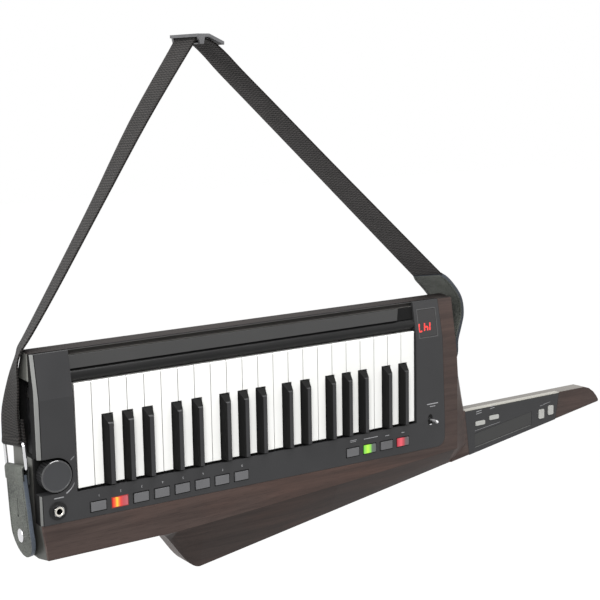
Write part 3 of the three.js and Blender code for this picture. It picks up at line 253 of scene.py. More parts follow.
def addSpread(tree, mask, socket, low, high):
    tree.links.new(mapped(tree, mask, toLow=low, toHigh=high), socket)


# Moulded plastics and paint: two tones in soft clouds, a fine grain, uneven gloss; some entries are painted
# light and shade, as marked
plasticFinishes = {
    "blackPanel": dict(dark=(0.023, 0.023, 0.0242), light=(0.032, 0.032, 0.0332), rough=(0.42, 0.54),
                       grain=1500, bump=0.22, specular=0.28),
    # Painted highlights: pale greys for the panel's left chamfer and the near part of its side face, where
    # light catches them, fading downwards
    "edgePaintedHighlight": dict(dark=(0.17, 0.172, 0.166), light=(0.21, 0.212, 0.206), rough=(0.5, 0.6),
                      grain=1500, bump=0.1, specular=0.12, paintedShadeSpan=(-140, 20, 0.62)),
    "sideSheen": dict(dark=(0.2, 0.202, 0.195), light=(0.25, 0.252, 0.245), rough=(0.5, 0.6),
                      grain=1500, bump=0.1, specular=0.12, paintedShadeSpan=(-140, 20, 0.62)),
    # The body's left end: a grey tone, partly a painted reflection, with painted shade darker towards the
    # foot
    "endGreyPaintedShade": dict(dark=(0.14, 0.142, 0.13), light=(0.2, 0.202, 0.186), rough=(0.4, 0.55),
                     grain=900, bump=0.25, specular=0.3, paintedShadeSpan=(-110, -10, 0.32)),
    # Painted shade: the rail below the touch strip, darker than the panel
    "railPaintedShade": dict(dark=(0.008, 0.008, 0.008), light=(0.013, 0.013, 0.013), rough=(0.4, 0.5),
                      grain=1500, bump=0.15, specular=0.15),
    # Painted light: the groove above the touch strip, lighter than its shade leaves it
    "groovePaintedLight": dict(dark=(0.05, 0.048, 0.045), light=(0.07, 0.067, 0.063), rough=(0.5, 0.6),
                       grain=1500, bump=0.15, specular=0.2),
    # Painted shade: the white keys' sides, greyer than their tops
    "keySidePaintedShade": dict(dark=(0.56, 0.56, 0.545), light=(0.62, 0.62, 0.605), rough=(0.3, 0.4),
                    grain=700, bump=0.02, specular=0.3),
    "whiteKey": dict(dark=(0.8, 0.8, 0.775), light=(0.85, 0.85, 0.83), rough=(0.16, 0.24),
                     grain=700, bump=0.02, coat=0.3),
    "blackKey": dict(dark=(0.02, 0.02, 0.0215), light=(0.029, 0.029, 0.0305), rough=(0.32, 0.44),
                     grain=1200, bump=0.08, specular=0.3),
    "ribbon": dict(dark=(0.018, 0.018, 0.0178), light=(0.0235, 0.0235, 0.023), rough=(0.5, 0.6),
                   grain=2600, bump=0.12),
    "neckRibbon": dict(dark=(0.018, 0.018, 0.0175), light=(0.024, 0.024, 0.0235), rough=(0.55, 0.65),
                       grain=2600, bump=0.12),
    "buttonCap": dict(dark=(0.088, 0.088, 0.092), light=(0.115, 0.115, 0.12), rough=(0.42, 0.55),
                      grain=1800, bump=0.12),
    "neckButton": dict(dark=(0.36, 0.36, 0.34), light=(0.44, 0.44, 0.42), rough=(0.45, 0.6),
                       grain=1500, bump=0.1),
    "darkPlastic": dict(dark=(0.012, 0.012, 0.013), light=(0.02, 0.02, 0.021), rough=(0.45, 0.6),
                        grain=1100, bump=0.3),
    # Painted shade: black for recesses, gaps, slots, holes and bores, and for key sides and lower ends
    "recessBlack": dict(dark=(0.004, 0.004, 0.004), light=(0.008, 0.008, 0.008), rough=(0.7, 0.8),
                        grain=1100, bump=0.2, specular=0.12),
    "lampLeak": dict(dark=(0.02, 0.008, 0.008), light=(0.03, 0.01, 0.01), rough=(0.5, 0.6),
                     grain=1500, bump=0.05, glow=((0.22, 0.012, 0.008), (0.4, 0.02, 0.012))),
    "knobPlastic": dict(dark=(0.032, 0.033, 0.035), light=(0.044, 0.045, 0.048), rough=(0.36, 0.48),
                        grain=1400, bump=0.12, specular=0.3),
    "knobRim": dict(dark=(0.018, 0.018, 0.019), light=(0.034, 0.034, 0.036), rough=(0.18, 0.28),
                    grain=1400, bump=0.05, coat=0.8),
    "knobSkirt": dict(dark=(0.006, 0.006, 0.0065), light=(0.012, 0.012, 0.0125), rough=(0.4, 0.5),
                      grain=1400, bump=0.1, specular=0.2),
    "topPaint": dict(dark=(0.016, 0.0135, 0.013), light=(0.026, 0.0215, 0.02), rough=(0.55, 0.68),
                     grain=900, bump=0.25, specular=0.15),
    # Painted light: the neck's upward faces, lighter than the stained wood
    "neckTop": dict(dark=(0.085, 0.078, 0.07), light=(0.125, 0.115, 0.103), rough=(0.4, 0.5),
                    grain=900, bump=0.15),
    # Painted highlight: the pale upper lip of the neck panel
    "neckLipPaintedHighlight": dict(dark=(0.23, 0.222, 0.198), light=(0.29, 0.28, 0.25), rough=(0.35, 0.45),
                    grain=1400, bump=0.08),
    "printedMark": dict(dark=(0.26, 0.26, 0.27), light=(0.36, 0.36, 0.37), rough=(0.5, 0.6),
                        grain=2000, bump=0.05, specular=0.3),
    "smoke": dict(dark=(0.018, 0.017, 0.0175), light=(0.025, 0.024, 0.0245), rough=(0.36, 0.44),
                  grain=1500, bump=0.04, specular=0.3),
    "windowLine": dict(dark=(0.06, 0.06, 0.06), light=(0.085, 0.085, 0.085), rough=(0.4, 0.5),
                       grain=1500, bump=0.05),
}


plasticSkin = {"clouds": 14.0, "contrast": 1.6, "bumpDeep": 0.00012}


def paintedShadeBelow(tree, place, colour, low, high, share):
    # Painted shade: a tone that is darker towards the foot, between two heights
    height = mapped(tree, splitPlace(tree, place)["Z"], at(0, 0, low).z, at(0, 0, high).z, share)
    return mixed(tree, 1.0, colour, height, "MULTIPLY")


def makePlastic(name, look):
    finish, tree, shader = newFinish(name, specular=look.get("specular", 0.5), coat=look.get("coat", 0.0))
    place = objectPlace(tree)
    cloud = placeGroup(tree, mottle, place, Cloud_Scale=plasticSkin["clouds"], Grain_Scale=look["grain"],
                       Contrast=plasticSkin["contrast"])
    colour = twoTone(tree, cloud.outputs["Cloud"], look["dark"], look["light"])
    # Painted shade, darker towards the foot
    if "paintedShadeSpan" in look:
        colour = paintedShadeBelow(tree, place, colour, *look["paintedShadeSpan"])
    tree.links.new(colour, shader.inputs["Base Color"])
    addSpread(tree, cloud.outputs["Cloud"], shader.inputs["Roughness"], *look["rough"])
    addBump(tree, shader, cloud.outputs["Grain"], look["bump"], plasticSkin["bumpDeep"])
    if "glow" in look:
        tree.links.new(twoTone(tree, cloud.outputs["Cloud"], *look["glow"]), shader.inputs["Emission Color"])
        shader.inputs["Emission Strength"].default_value = 1.0
    return finish


finishes = {name: makePlastic(name, look) for name, look in plasticFinishes.items()}

# Metals: a slow change of tone and fine scratches in the gloss
metalFinishes = {
    "chrome": dict(dark=(0.6, 0.6, 0.62), light=(0.78, 0.78, 0.79), rough=(0.07, 0.2), grain=800),
    "nickel": dict(dark=(0.62, 0.6, 0.55), light=(0.8, 0.77, 0.7), rough=(0.15, 0.3), grain=1000),
    "satinBat": dict(dark=(0.62, 0.62, 0.63), light=(0.82, 0.82, 0.83), rough=(0.4, 0.55), grain=1000),
    "enamel": dict(dark=(0.12, 0.12, 0.124), light=(0.19, 0.19, 0.196), rough=(0.34, 0.48), grain=1200),
    "blackened": dict(dark=(0.02, 0.02, 0.02), light=(0.04, 0.04, 0.04), rough=(0.3, 0.45), grain=1200),
}
metalSkin = {"clouds": 60.0, "contrast": 1.2, "bump": 0.05, "bumpDeep": 0.00008}


def makeMetal(name, look):
    finish, tree, shader = newFinish(name, metallic=1.0)
    cloud = placeGroup(tree, mottle, objectPlace(tree), Cloud_Scale=metalSkin["clouds"],
                       Grain_Scale=look["grain"], Contrast=metalSkin["contrast"])
    tone = twoTone(tree, cloud.outputs["Cloud"], look["dark"], look["light"])
    tree.links.new(tone, shader.inputs["Base Color"])
    addSpread(tree, cloud.outputs["Grain"], shader.inputs["Roughness"], *look["rough"])
    addBump(tree, shader, cloud.outputs["Grain"], metalSkin["bump"], metalSkin["bumpDeep"])
    return finish


for name, look in metalFinishes.items():
    finishes[name] = makeMetal(name, look)

# Stained wood: long streaks with the body, pores, and warmer patches under a satin lacquer
woodLook = {
    "dark": (0.034, 0.0225, 0.0195),
    "light": (0.066, 0.0455, 0.0395),
    "warm": (0.098, 0.05, 0.037),
    "streak": ((5, 110, 110), 7.0, 0.9),  # scale, detail and distortion
    "pores": ((55, 1700, 1700), 3.0, 0.0),
    "patch": ((4, 9, 9), 2.0, 0.4),
    "turn": -3,
    "streakRange": (0.3, 0.7),
    "warmRange": (0.28, 0.72),
    "patchRange": (0.46, 0.64),
    "poreRange": (0.3, 0.45),
    "poreShade": 0.62,
    "warmShare": 0.55,
    "rough": (0.4, 0.52),
    "bump": (0.12, 0.00015),
    # Painted shade: the horn's lower facet takes the wood's tones times this share
    "hornPaintedShade": 0.52,
}


def makeWood(name, look, shade=1.0):
    finish, tree, shader = newFinish(name, specular=0.22)
    place = objectPlace(tree)
    dark, light, warm = (tuple(shade * part for part in look[tone]) for tone in ("dark", "light", "warm"))

    def grainOf(scale, detail, distortion):
        mapping = addNode(tree, "ShaderNodeMapping", Scale=scale, Rotation=(0, math.radians(look["turn"]), 0))
        noise = addNode(tree, "ShaderNodeTexNoise", Scale=1.0, Detail=detail, Roughness=0.62,
                        Distortion=distortion)
        tree.links.new(place, mapping.inputs["Vector"])
        tree.links.new(mapping.outputs["Vector"], noise.inputs["Vector"])
        return noise.outputs["Fac"]

    streak, pores, patch = (grainOf(*look[kind]) for kind in ("streak", "pores", "patch"))
    warmth = mapped(tree, patch, *look["patchRange"], toHigh=look["warmShare"])
    stain = mixed(tree, warmth, twoTone(tree, streak, dark, light, *look["streakRange"]),
                  twoTone(tree, streak, dark, warm, *look["warmRange"]))
    fleck = mapped(tree, pores, *look["poreRange"], toLow=look["poreShade"])
    tree.links.new(mixed(tree, 1.0, stain, fleck, "MULTIPLY"), shader.inputs["Base Color"])
    addSpread(tree, streak, shader.inputs["Roughness"], *look["rough"])
    addBump(tree, shader, pores, *look["bump"])
    return finish


finishes["stainedWood"] = makeWood("stainedWood", woodLook)
# The horn's lower facet: the same wood with painted shade
finishes["hornWoodPaintedShade"] = makeWood("hornWoodPaintedShade", woodLook, woodLook["hornPaintedShade"])

# Webbing: chevrons across a strip, from its own UV map in metres
weaveLook = {
    "outer": ((0.009, 0.0084, 0.0082), (0.058, 0.053, 0.052)),
    # Painted shade: the inner side and the rims are darker than the outer side
    "inner": ((0.004, 0.0036, 0.0034), (0.022, 0.0195, 0.0182)),
    "column": 0.004,
    "wave": 0.28,
    "pitch": 0.0032,
    "rib": 0.0013,
    "ribShare": 0.4,
    "edge": 0.0014,
    "edgeRise": 0.5,
    "fuzzShare": 0.25,
    "fuzz": (40.0, 1400.0, 1.4),
    "toneRange": (0.25, 0.75),
    "sheen": (0.05, 0.5),
    "bump": (0.7, 0.0005),
}


def makeWeave(name, look, side, wide):
    finish, tree, shader = newFinish(name, roughness=0.85, specular=0.1)
    for label, value in zip(("Sheen Weight", "Sheen Roughness"), look["sheen"]):
        shader.inputs[label].default_value = value
    strip = splitPlace(tree, addNode(tree, "ShaderNodeUVMap", uv_map="strip").outputs["UV"])
    across, along = strip["X"], strip["Y"]
    zigzag = sums(tree, "MULTIPLY", sums(tree, "PINGPONG", across, look["column"]), look["wave"])
    turns = sums(tree, "MULTIPLY", sums(tree, "ADD", along, zigzag), math.tau / look["pitch"])
    chevron = sums(tree, "MULTIPLY_ADD", sums(tree, "SINE", turns), 0.5, 0.5)
    ribs = sums(tree, "SINE", sums(tree, "MULTIPLY", across, math.pi / look["rib"]))
    threads = sums(tree, "MULTIPLY_ADD", sums(tree, "ABSOLUTE", ribs), look["ribShare"], 1 - look["ribShare"])
    body = sums(tree, "MULTIPLY", chevron, threads)
    rim = sums(tree, "GREATER_THAN", sums(tree, "ABSOLUTE", across), wide / 2000 - look["edge"])
    height = sums(tree, "MULTIPLY_ADD", rim, look["edgeRise"], body)
    clouds, grain, contrast = look["fuzz"]
    fuzz = placeGroup(tree, mottle, objectPlace(tree), Cloud_Scale=clouds, Grain_Scale=grain,
                      Contrast=contrast)
    worn = sums(tree, "MULTIPLY", fuzz.outputs["Cloud"], look["fuzzShare"])
    mask = sums(tree, "MULTIPLY_ADD", body, 1 - look["fuzzShare"], worn)
    tree.links.new(twoTone(tree, mask, *look[side], *look["toneRange"]), shader.inputs["Base Color"])
    addBump(tree, shader, height, *look["bump"])
    return finish


# Leather: pebbled skin, and smooth painted edges
leatherFinishes = {
    "leather": dict(dark=(0.018, 0.02, 0.0175), light=(0.125, 0.133, 0.117), rough=(0.5, 0.68), bump=0.8),
    "leatherInner": dict(dark=(0.004, 0.0045, 0.004), light=(0.018, 0.02, 0.0185), rough=(0.55, 0.7),
                         bump=0.5),
    "leatherEdge": dict(dark=(0.045, 0.055, 0.07), light=(0.08, 0.095, 0.118), rough=(0.35, 0.48), bump=0.15),
    "leatherRim": dict(dark=(0.015, 0.018, 0.024), light=(0.03, 0.036, 0.045), rough=(0.35, 0.48), bump=0.15),
    "leatherFold": dict(dark=(0.008, 0.009, 0.009), light=(0.02, 0.022, 0.021), rough=(0.5, 0.6), bump=0.2),
    "thread": dict(dark=(0.006, 0.0065, 0.0065), light=(0.014, 0.015, 0.0145), rough=(0.6, 0.7), bump=0.2),
}
leatherSkin = {"pebbles": 640.0, "clouds": (24.0, 500.0, 1.5), "cloudShare": 0.4, "toneRange": (0.12, 0.8),
               "bumpDeep": 0.0003}


def makeLeather(name, look):
    finish, tree, shader = newFinish(name, specular=0.3)
    place = objectPlace(tree)
    skin = placeGroup(tree, pebble, place, Scale=leatherSkin["pebbles"])
    clouds, grain, contrast = leatherSkin["clouds"]
    cloud = placeGroup(tree, mottle, place, Cloud_Scale=clouds, Grain_Scale=grain, Contrast=contrast)
    share = leatherSkin["cloudShare"]
    rubbed = sums(tree, "MULTIPLY", skin.outputs["Height"], 1 - share)
    worn = sums(tree, "MULTIPLY_ADD", cloud.outputs["Cloud"], share, rubbed)
    tone = twoTone(tree, worn, look["dark"], look["light"], *leatherSkin["toneRange"])
    tree.links.new(tone, shader.inputs["Base Color"])
    addSpread(tree, skin.outputs["Crease"], shader.inputs["Roughness"], *look["rough"])
    addBump(tree, shader, skin.outputs["Height"], look["bump"], leatherSkin["bumpDeep"])
    return finish


for name, look in leatherFinishes.items():
    finishes[name] = makeLeather(name, look)

# Caps with a lamp behind part of them: the glow is set out along each cap, from its left end
capLook = {
    "programFirst": 21.8, "functionFirst": 356.1, "pitch": 25.4, "wide": 17.6, "high": 10.0, "z": -134.9,
    "glowPast": 0.0005, "cover": 2.2, "litBase": (0.03, 0.012, 0.012, 1),
}
unlit = (0, 0, 0)
lampColours = {
    "red": [(0.0, (0.8, 0.03, 0.01)), (0.14, (1.0, 0.12, 0.01)), (0.27, (1.0, 0.72, 0.03)),
            (0.4, (1.0, 0.2, 0.02)), (0.52, (0.8, 0.03, 0.03)), (0.7, (0.52, 0.06, 0.07)),
            (0.98, (0.56, 0.1, 0.13))],
    "green": [(0.0, (0.14, 0.62, 0.01)), (0.3, (0.5, 0.98, 0.05)), (0.52, (0.2, 0.7, 0.02)),
              (0.66, (0.0, 0.05, 0.0)), (1.0, unlit)],
    "pink": [(0.0, (0.5, 0.03, 0.05)), (0.3, (0.85, 0.09, 0.13)), (0.52, (0.5, 0.04, 0.06)),
             (0.68, (0.06, 0.0, 0.0)), (1.0, unlit)],
}


def makeLitCaps(name, lamps):
    finish = finishes["buttonCap"].copy()
    finish.name = name
    tree = finish.node_tree
    shader = tree.nodes["Principled BSDF"]
    across = splitPlace(tree, objectPlace(tree))["X"]
    glow = (*unlit, 1)
    for first, index, colour in lamps:
        middle = capLook[first] + index * capLook["pitch"]
        left, right = (at(middle + side * capLook["wide"] / 2, 0, 0).x for side in (-1, 1))
        ramp = tree.nodes.new("ShaderNodeValToRGB")
        tree.links.new(mapped(tree, across, left, right), ramp.inputs["Fac"])
        points = ramp.color_ramp.elements
        while len(points) < len(lampColours[colour]):
            points.new(0.5)
        for point, (share, tone) in zip(points, lampColours[colour]):
            point.position = share
            point.color = (*tone, 1)
        inside = sums(tree, "COMPARE", across, (left + right) / 2, (right - left) / 2 + capLook["glowPast"])
        glow = mixed(tree, inside, glow, ramp.outputs["Color"])
    tree.links.new(glow, shader.inputs["Emission Color"])
    shader.inputs["Emission Strength"].default_value = 1.0
    # The cap's own tone gives way where it glows
    own = shader.inputs["Base Color"].links[0].from_socket
    bright = addNode(tree, "ShaderNodeSeparateColor")
    tree.links.new(glow, bright.inputs[0])
    cover = sums(tree, "MINIMUM", sums(tree, "MULTIPLY", bright.outputs[0], capLook["cover"]), 1.0)
    tree.links.new(mixed(tree, cover, own, capLook["litBase"]), shader.inputs["Base Color"])
    return finish


finishes["programCaps"] = makeLitCaps("programCaps", [("programFirst", 1, "red")])
finishes["functionCaps"] = makeLitCaps(
    "functionCaps", [("functionFirst", 1, "green"), ("functionFirst", 3, "pink")])


segmentLook = {
    "dark": (0.9, 0.02, 0.015), "light": (1.0, 0.06, 0.045), "base": (0.3, 0.01, 0.01, 1), "glow": 1.1,
}


def makeSegment(look):
    # A lit bar of the display, with an uneven glow
    finish, tree, shader = newFinish("segment", roughness=0.4)
    cloud = placeGroup(tree, mottle, objectPlace(tree), Cloud_Scale=400.0, Grain_Scale=1500.0, Contrast=1.0)
    tone = twoTone(tree, cloud.outputs["Cloud"], look["dark"], look["light"])
    tree.links.new(tone, shader.inputs["Emission Color"])
    shader.inputs["Base Color"].default_value = look["base"]
    shader.inputs["Emission Strength"].default_value = look["glow"]
    return finish


finishes["segment"] = makeSegment(segmentLook)
print("finishes ready:", len(finishes))


# Making pieces
def newObject(name, bm, kinds):
    mesh = bpy.data.meshes.new(name)
    bm.to_mesh(mesh)
    bm.free()
    for kind in kinds:
        mesh.materials.append(finishes[kind])
    piece = bpy.data.objects.new(name, mesh)
    scene.collection.objects.link(piece)
    return piece


def newPiece(name, bm, kinds, body="instrument", sharp=32):
    piece = newObject(name, bm, [kinds] if isinstance(kinds, str) else kinds)
    piece.data.shade_smooth()
    piece.data.set_sharp_from_angle(angle=math.radians(sharp))
    even = piece.modifiers.new("evenShading", "WEIGHTED_NORMAL")
    even.keep_sharp = True
    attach(piece, body)
    return piece


def swapNode(node, bm, kinds, body="instrument", sharp=32):
    # The finished form of a CAD node stands in its place
    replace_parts(newPiece(node + "_made", bm, kinds, body, sharp), node)


def local(vert):
    return (vert.co - keyCorner) * 1000


def middleOf(face):
    return (face.calc_center_median() - keyCorner) * 1000


def endsOf(edge):
    return [local(vert) for vert in edge.verts]


def offFace(spot):
    # How far a spot lies behind the front panel's face
    return spot.y - faceDepth(spot.z)


everywhere = (-math.inf, math.inf)


def within(spot, x=everywhere, y=everywhere, z=everywhere):
    return all(low < value < high for value, (low, high) in zip(spot, (x, y, z)))


def below(limit):
    return -math.inf, limit


def above(limit):
    return limit, math.inf


def paintFaces(bm, kinds, regions):
    # A face takes the first finish whose region holds its middle and whose range holds its normal
    bm.normal_update()
    for face in bm.faces:
        spot = middleOf(face)
        for kind, place, facing in regions:
            if within(spot, **place) and within(face.normal, **facing):
                face.material_index = kinds.index(kind)
                break


mergeDistance = 3e-6
flatAngle = math.radians(0.5)


def nodeCopy(node):
    bm = bmesh.new()
    bm.from_mesh(nodes[node].data)
    bmesh.ops.remove_doubles(bm, verts=bm.verts, dist=mergeDistance)
    bmesh.ops.dissolve_limit(bm, angle_limit=flatAngle, verts=bm.verts, edges=bm.edges)
    return bm


def bevelEdges(bm, edges, size, segments=2, clamp=True):
    bmesh.ops.bevel(bm, geom=edges, offset=size / 1000, segments=segments, profile=0.5, affect="EDGES",
                    clamp_overlap=clamp, material=-1)


def roundEdges(bm, size, segments=2, corner=35, keep=None, clamp=True):
    # Rounds the edges that turn more than the corner angle, or those of them that keep() picks
    edges = [edge for edge in bm.edges if len(edge.link_faces) == 2
             and edge.calc_face_angle(0) >= math.radians(corner) and (keep is None or keep(edge))]
    bevelEdges(bm, edges, size, segments, clamp)


def refined(node, finish, size=0.4, segments=2, corner=35, body="instrument", sharp=32):
    bm = nodeCopy(node)
    if size:
        roundEdges(bm, size, segments, corner)
    swapNode(node, bm, finish, body, sharp)


def newCube(bm):
    return bmesh.ops.create_cube(bm, size=1.0)["verts"]


def block(bm, low, high, size=0.0):
    # A box from its low to its high corner, with rounded edges
    verts = newCube(bm)
    a, b = at(*low), at(*high)
    bmesh.ops.scale(bm, vec=b - a, verts=verts)
    bmesh.ops.translate(bm, vec=(a + b) / 2, verts=verts)
    if size:
        bevelEdges(bm, list({edge for vert in verts for edge in vert.link_edges}), size)


facingFront = Matrix.Rotation(math.radians(90), 3, "X")
facingBack = Matrix.Rotation(math.radians(-90), 3, "X")
facingRight = Matrix.Rotation(math.radians(90), 3, "Y")


def turned(bm, profile, x, y, z, axis="y", sides=48, finish=0):
    # A profile of (radius, distance) swept round a line along y or x, and added to a piece
    own = bmesh.new()
    verts = [own.verts.new((radius / 1000, 0, far / 1000)) for radius, far in profile]
    edges = [own.edges.new(pair) for pair in zip(verts, verts[1:])]
    bmesh.ops.spin(own, geom=verts + edges, cent=(0, 0, 0), axis=(0, 0, 1), angle=math.tau, steps=sides,
                   use_merge=True)
    bmesh.ops.remove_doubles(own, verts=own.verts, dist=1e-7)
    bmesh.ops.recalc_face_normals(own, faces=own.faces)
    turn = facingBack if axis == "y" else facingRight
    bmesh.ops.rotate(own, cent=(0, 0, 0), matrix=turn, verts=own.verts)
    bmesh.ops.translate(own, vec=at(x, y, z), verts=own.verts)
    for face in own.faces:
        face.material_index = finish
    mesh = bpy.data.meshes.new("turned")
    own.to_mesh(mesh)
    own.free()
    bm.from_mesh(mesh)
    bpy.data.meshes.remove(mesh)


def vertsIn(made):
    return [item for item in made if isinstance(item, bmesh.types.BMVert)]


def standPlate(bm, thick, size, place):
    # Gives flat faces a thickness, and stands them up facing the front
    lifted = bmesh.ops.extrude_face_region(bm, geom=list(bm.faces), use_keep_orig=True)["geom"]
    bmesh.ops.translate(bm, vec=(0, 0, thick / 1000), verts=vertsIn(lifted))
    bmesh.ops.recalc_face_normals(bm, faces=bm.faces)
    if size:
        bevelEdges(bm, list(bm.edges), size)
    bmesh.ops.rotate(bm, cent=(0, 0, 0), matrix=facingFront, verts=bm.verts)
    bmesh.ops.translate(bm, vec=at(*place), verts=bm.verts)


def bakedMesh(curve):
    # The mesh of a curve or of text, which is then removed
    holder = bpy.data.objects.new("holder", curve)
    scene.collection.objects.link(holder)
    mesh = bpy.data.meshes.new_from_object(holder.evaluated_get(bpy.context.evaluated_depsgraph_get()))
    bpy.data.objects.remove(holder)
    bpy.data.curves.remove(curve)
    return mesh


# Keys: the black ones narrow towards their playing faces; their lower ends, the black keys' sides and bases
# and the white keys' sides carry painted shade
keyLook = {
    "round": 0.5, "whiteCorner": 50, "blackCorner": 25,
    "foot": -114, "short": 1.4, "darkBelow": -112.7,
    "blackBase": -7, "baseHigh": 0.2, "taper": 1.0,
    "firstEdge": 0.7, "firstShift": 1.0,
    "near": 0.1,
}


def dressKeys(look):
    paintedShadeEnd = ("recessBlack", dict(z=below(look["darkBelow"] - look["near"])), {})
    base = dict(y=above(look["blackBase"] + look["baseHigh"]))
    blackRegions = [paintedShadeEnd, ("recessBlack", base, {}), ("recessBlack", {}, dict(x=below(-0.3)))]
    whiteRegions = [paintedShadeEnd, ("keySidePaintedShade", {}, dict(x=above(0.9))), ("keySidePaintedShade", {}, dict(x=below(-0.9)))]
    for node in nodes:
        if not node.startswith(("white_key", "black_key")):
            continue
        black = node.startswith("black")
        bm = nodeCopy(node)
        sides = [local(vert).x for vert in bm.verts]
        middle = (min(sides) + max(sides)) / 2
        for vert in bm.verts:
            spot = local(vert)
            if abs(spot.z - look["foot"]) < look["near"]:
                vert.co.z += look["short"] / 1000
            if black and spot.y < look["blackBase"]:
                vert.co.x += math.copysign(look["taper"], middle - spot.x) / 1000
            if node == "white_key_01" and spot.x < look["firstEdge"]:
                vert.co.x += look["firstShift"] / 1000
        roundEdges(bm, look["round"], 2, look["blackCorner" if black else "whiteCorner"])
        whole = [*bm.verts, *bm.edges, *bm.faces]
        bmesh.ops.bisect_plane(bm, geom=whole, plane_co=at(0, 0, look["darkBelow"]), plane_no=(0, 0, 1))
        kinds = ["blackKey", "recessBlack"] if black else ["whiteKey", "recessBlack", "keySidePaintedShade"]
        paintFaces(bm, kinds, blackRegions if black else whiteRegions)
        swapNode(node, bm, kinds, node)


dressKeys(keyLook)
# The keybed is painted shade black
nodes["keybed"].material_slots[0].material = finishes["recessBlack"]
print("keys dressed")

# Wooden body: softened edges, a rounded lower left corner, painted top, painted shade black in the socket
# recess, painted light on the neck's top, and painted shade on the end and the horn's lower facet
bodyLook = {
    "round": 0.9, "leftRound": 2.6,
    # The left front edge lies left of the first and before the second, and reaches below the third
    "leftFront": (-41, -2.5, -140),
    "longEdge": 12,
    "footShift": 5.0, "footTop": -145.5, "footReach": -36, "footDepth": 3, "footCurve": 1.5, "footFrom": 0.05,
    "endBack": 3.0, "endRegion": dict(x=below(-41.9), y=above(20), z=above(-2)),
    "neckTopZ": -116, "neckTopFrom": 540,
    "finishes": ["stainedWood", "recessBlack", "topPaint", "endGreyPaintedShade", "neckTop", "hornWoodPaintedShade"],
    "regions": [
        # Painted shade in the socket recess, on the end and on the horn's lower facet; painted light on the
        # neck's top
        ("recessBlack", dict(x=(-42.9, -17), y=(13, 42.5), z=(-76.5, 6.5)), {}),
        ("topPaint", dict(z=above(28)), dict(z=above(0.55))),
        ("endGreyPaintedShade", dict(x=below(-35)), dict(x=below(-0.7))),
        ("neckTop", dict(x=(541, 757), z=above(-118)), dict(z=above(0.5))),
        ("hornWoodPaintedShade", dict(x=(97, 480), z=below(-150)), dict(y=(-0.99, -0.1), z=below(-0.04))),
    ],
}


def dressBody(look):
    bm = nodeCopy("wooden_body")

    def isLeftFront(edge):
        right, back, high = look["leftFront"]
        return all(spot.x < right and spot.y < back for spot in endsOf(edge)) and min(
            spot.z for spot in endsOf(edge)) < high

    def isOuter(edge):
        a, b = endsOf(edge)
        rearEdge = min(a.y, b.y) > 30 and min(a.x, b.x) > -40
        if isLeftFront(edge) or rearEdge or abs(a.x - b.x) <= look["longEdge"]:
            return False
        top = min(a.z, b.z) > 30 and min(a.x, b.x) > -44 and min(a.y, b.y) > 20
        level = max(abs(a.z - look["neckTopZ"]), abs(b.z - look["neckTopZ"])) < 1
        neckTop = level and min(a.x, b.x) > look["neckTopFrom"]
        ridge = max(a.z, b.z) < -120 and max(a.y, b.y) < 13 and min(a.z, b.z) > -190
        neckFoot = min(a.x, b.x) > 700 and max(a.y, b.y) < 12
        return top or neckTop or ridge or neckFoot

    roundEdges(bm, look["round"], 3, 22, isOuter)
    roundEdges(bm, look["leftRound"], 4, 30, isLeftFront)
    ends = [face for face in bm.faces if face.normal.x < -0.9 and middleOf(face).x < -42]
    bmesh.ops.triangulate(bm, faces=ends)
    foot = min(local(vert).z for vert in bm.verts if local(vert).x < -40)
    for vert in bm.verts:
        spot = local(vert)
        share = (look["footTop"] - spot.z) / (look["footTop"] - foot)
        if spot.x < look["footReach"] and spot.y < look["footDepth"] and share > look["footFrom"]:
            vert.co += Vector((look["footShift"], 0, 0)) * share ** look["footCurve"] / 1000
        if within(spot, **look["endRegion"]):
            vert.co.y += look["endBack"] / 1000
    paintFaces(bm, look["finishes"], look["regions"])
    swapNode("wooden_body", bm, look["finishes"], sharp=28)


dressBody(bodyLook)

# Volume knob and the well that it turns in
knobLook = {
    "x": -24.9, "z": -93.6, "radius": 17.2, "face": -6.4, "foot": 8.0,
    "flutes": 34, "perFlute": 4, "deep": 0.7,
    # Depth behind the face, and share of the radius; the first level keeps the flutes
    "levels": [(2.2, None), (1.6, 1.0), (0.7, 0.99), (0.15, 0.965), (0, 0.94), (0, 0.9), (0.35, 0.87),
               (0.4, 0.83), (0.4, 0.4)],
    "skirtBehind": 1.9, "skirtReach": 0.978, "rimBehind": 0.8, "rimReach": 0.91,
    "wellRadius": 21, "wellDeep": 0.4, "wellFrom": -43,
}

# Front panel: its left front edge is cut off, less so at its foot; painted highlights on that cut and on the
# side's near part, painted shade on the rest of the side, the seam, the rail and the knob's well, and painted
# light in the groove
rail = (-1, 455.5)
panelLook = {
    "leftChamfer": 3.4, "footChamfer": 2.4, "footBelow": -100, "seam": 0.5, "round": 0.45,
    "lightDeep": 2.0, "near": 0.05, "leftEdge": -42.9, "longEdge": 8, "faceFrom": -42, "seamBefore": -38,
    "finishes": ["blackPanel", "edgePaintedHighlight", "recessBlack", "sideSheen", "railPaintedShade", "groovePaintedLight"],
    "regions": [
        ("sideSheen", dict(x=below(-42.5), y=below(2.0), z=above(-95)), dict(x=below(-0.9))),
        ("recessBlack", dict(x=below(-42.5)), dict(x=below(-0.9))),
        ("recessBlack", dict(x=below(-38)), dict(x=(-0.6, -0.2), z=(-0.4, 0.4))),
        ("edgePaintedHighlight", dict(x=below(-39.5)), dict(x=(-0.9, -0.6), z=(-0.4, 0.4))),
        ("railPaintedShade", dict(x=rail, y=below(12.5), z=(1.5, 14.5)), {}),
        ("recessBlack", dict(x=rail, y=below(12.5), z=(14.5, 30)), {}),
        ("groovePaintedLight", dict(x=rail, y=below(12.9), z=(29.99, 34.9)), {}),
    ],
}


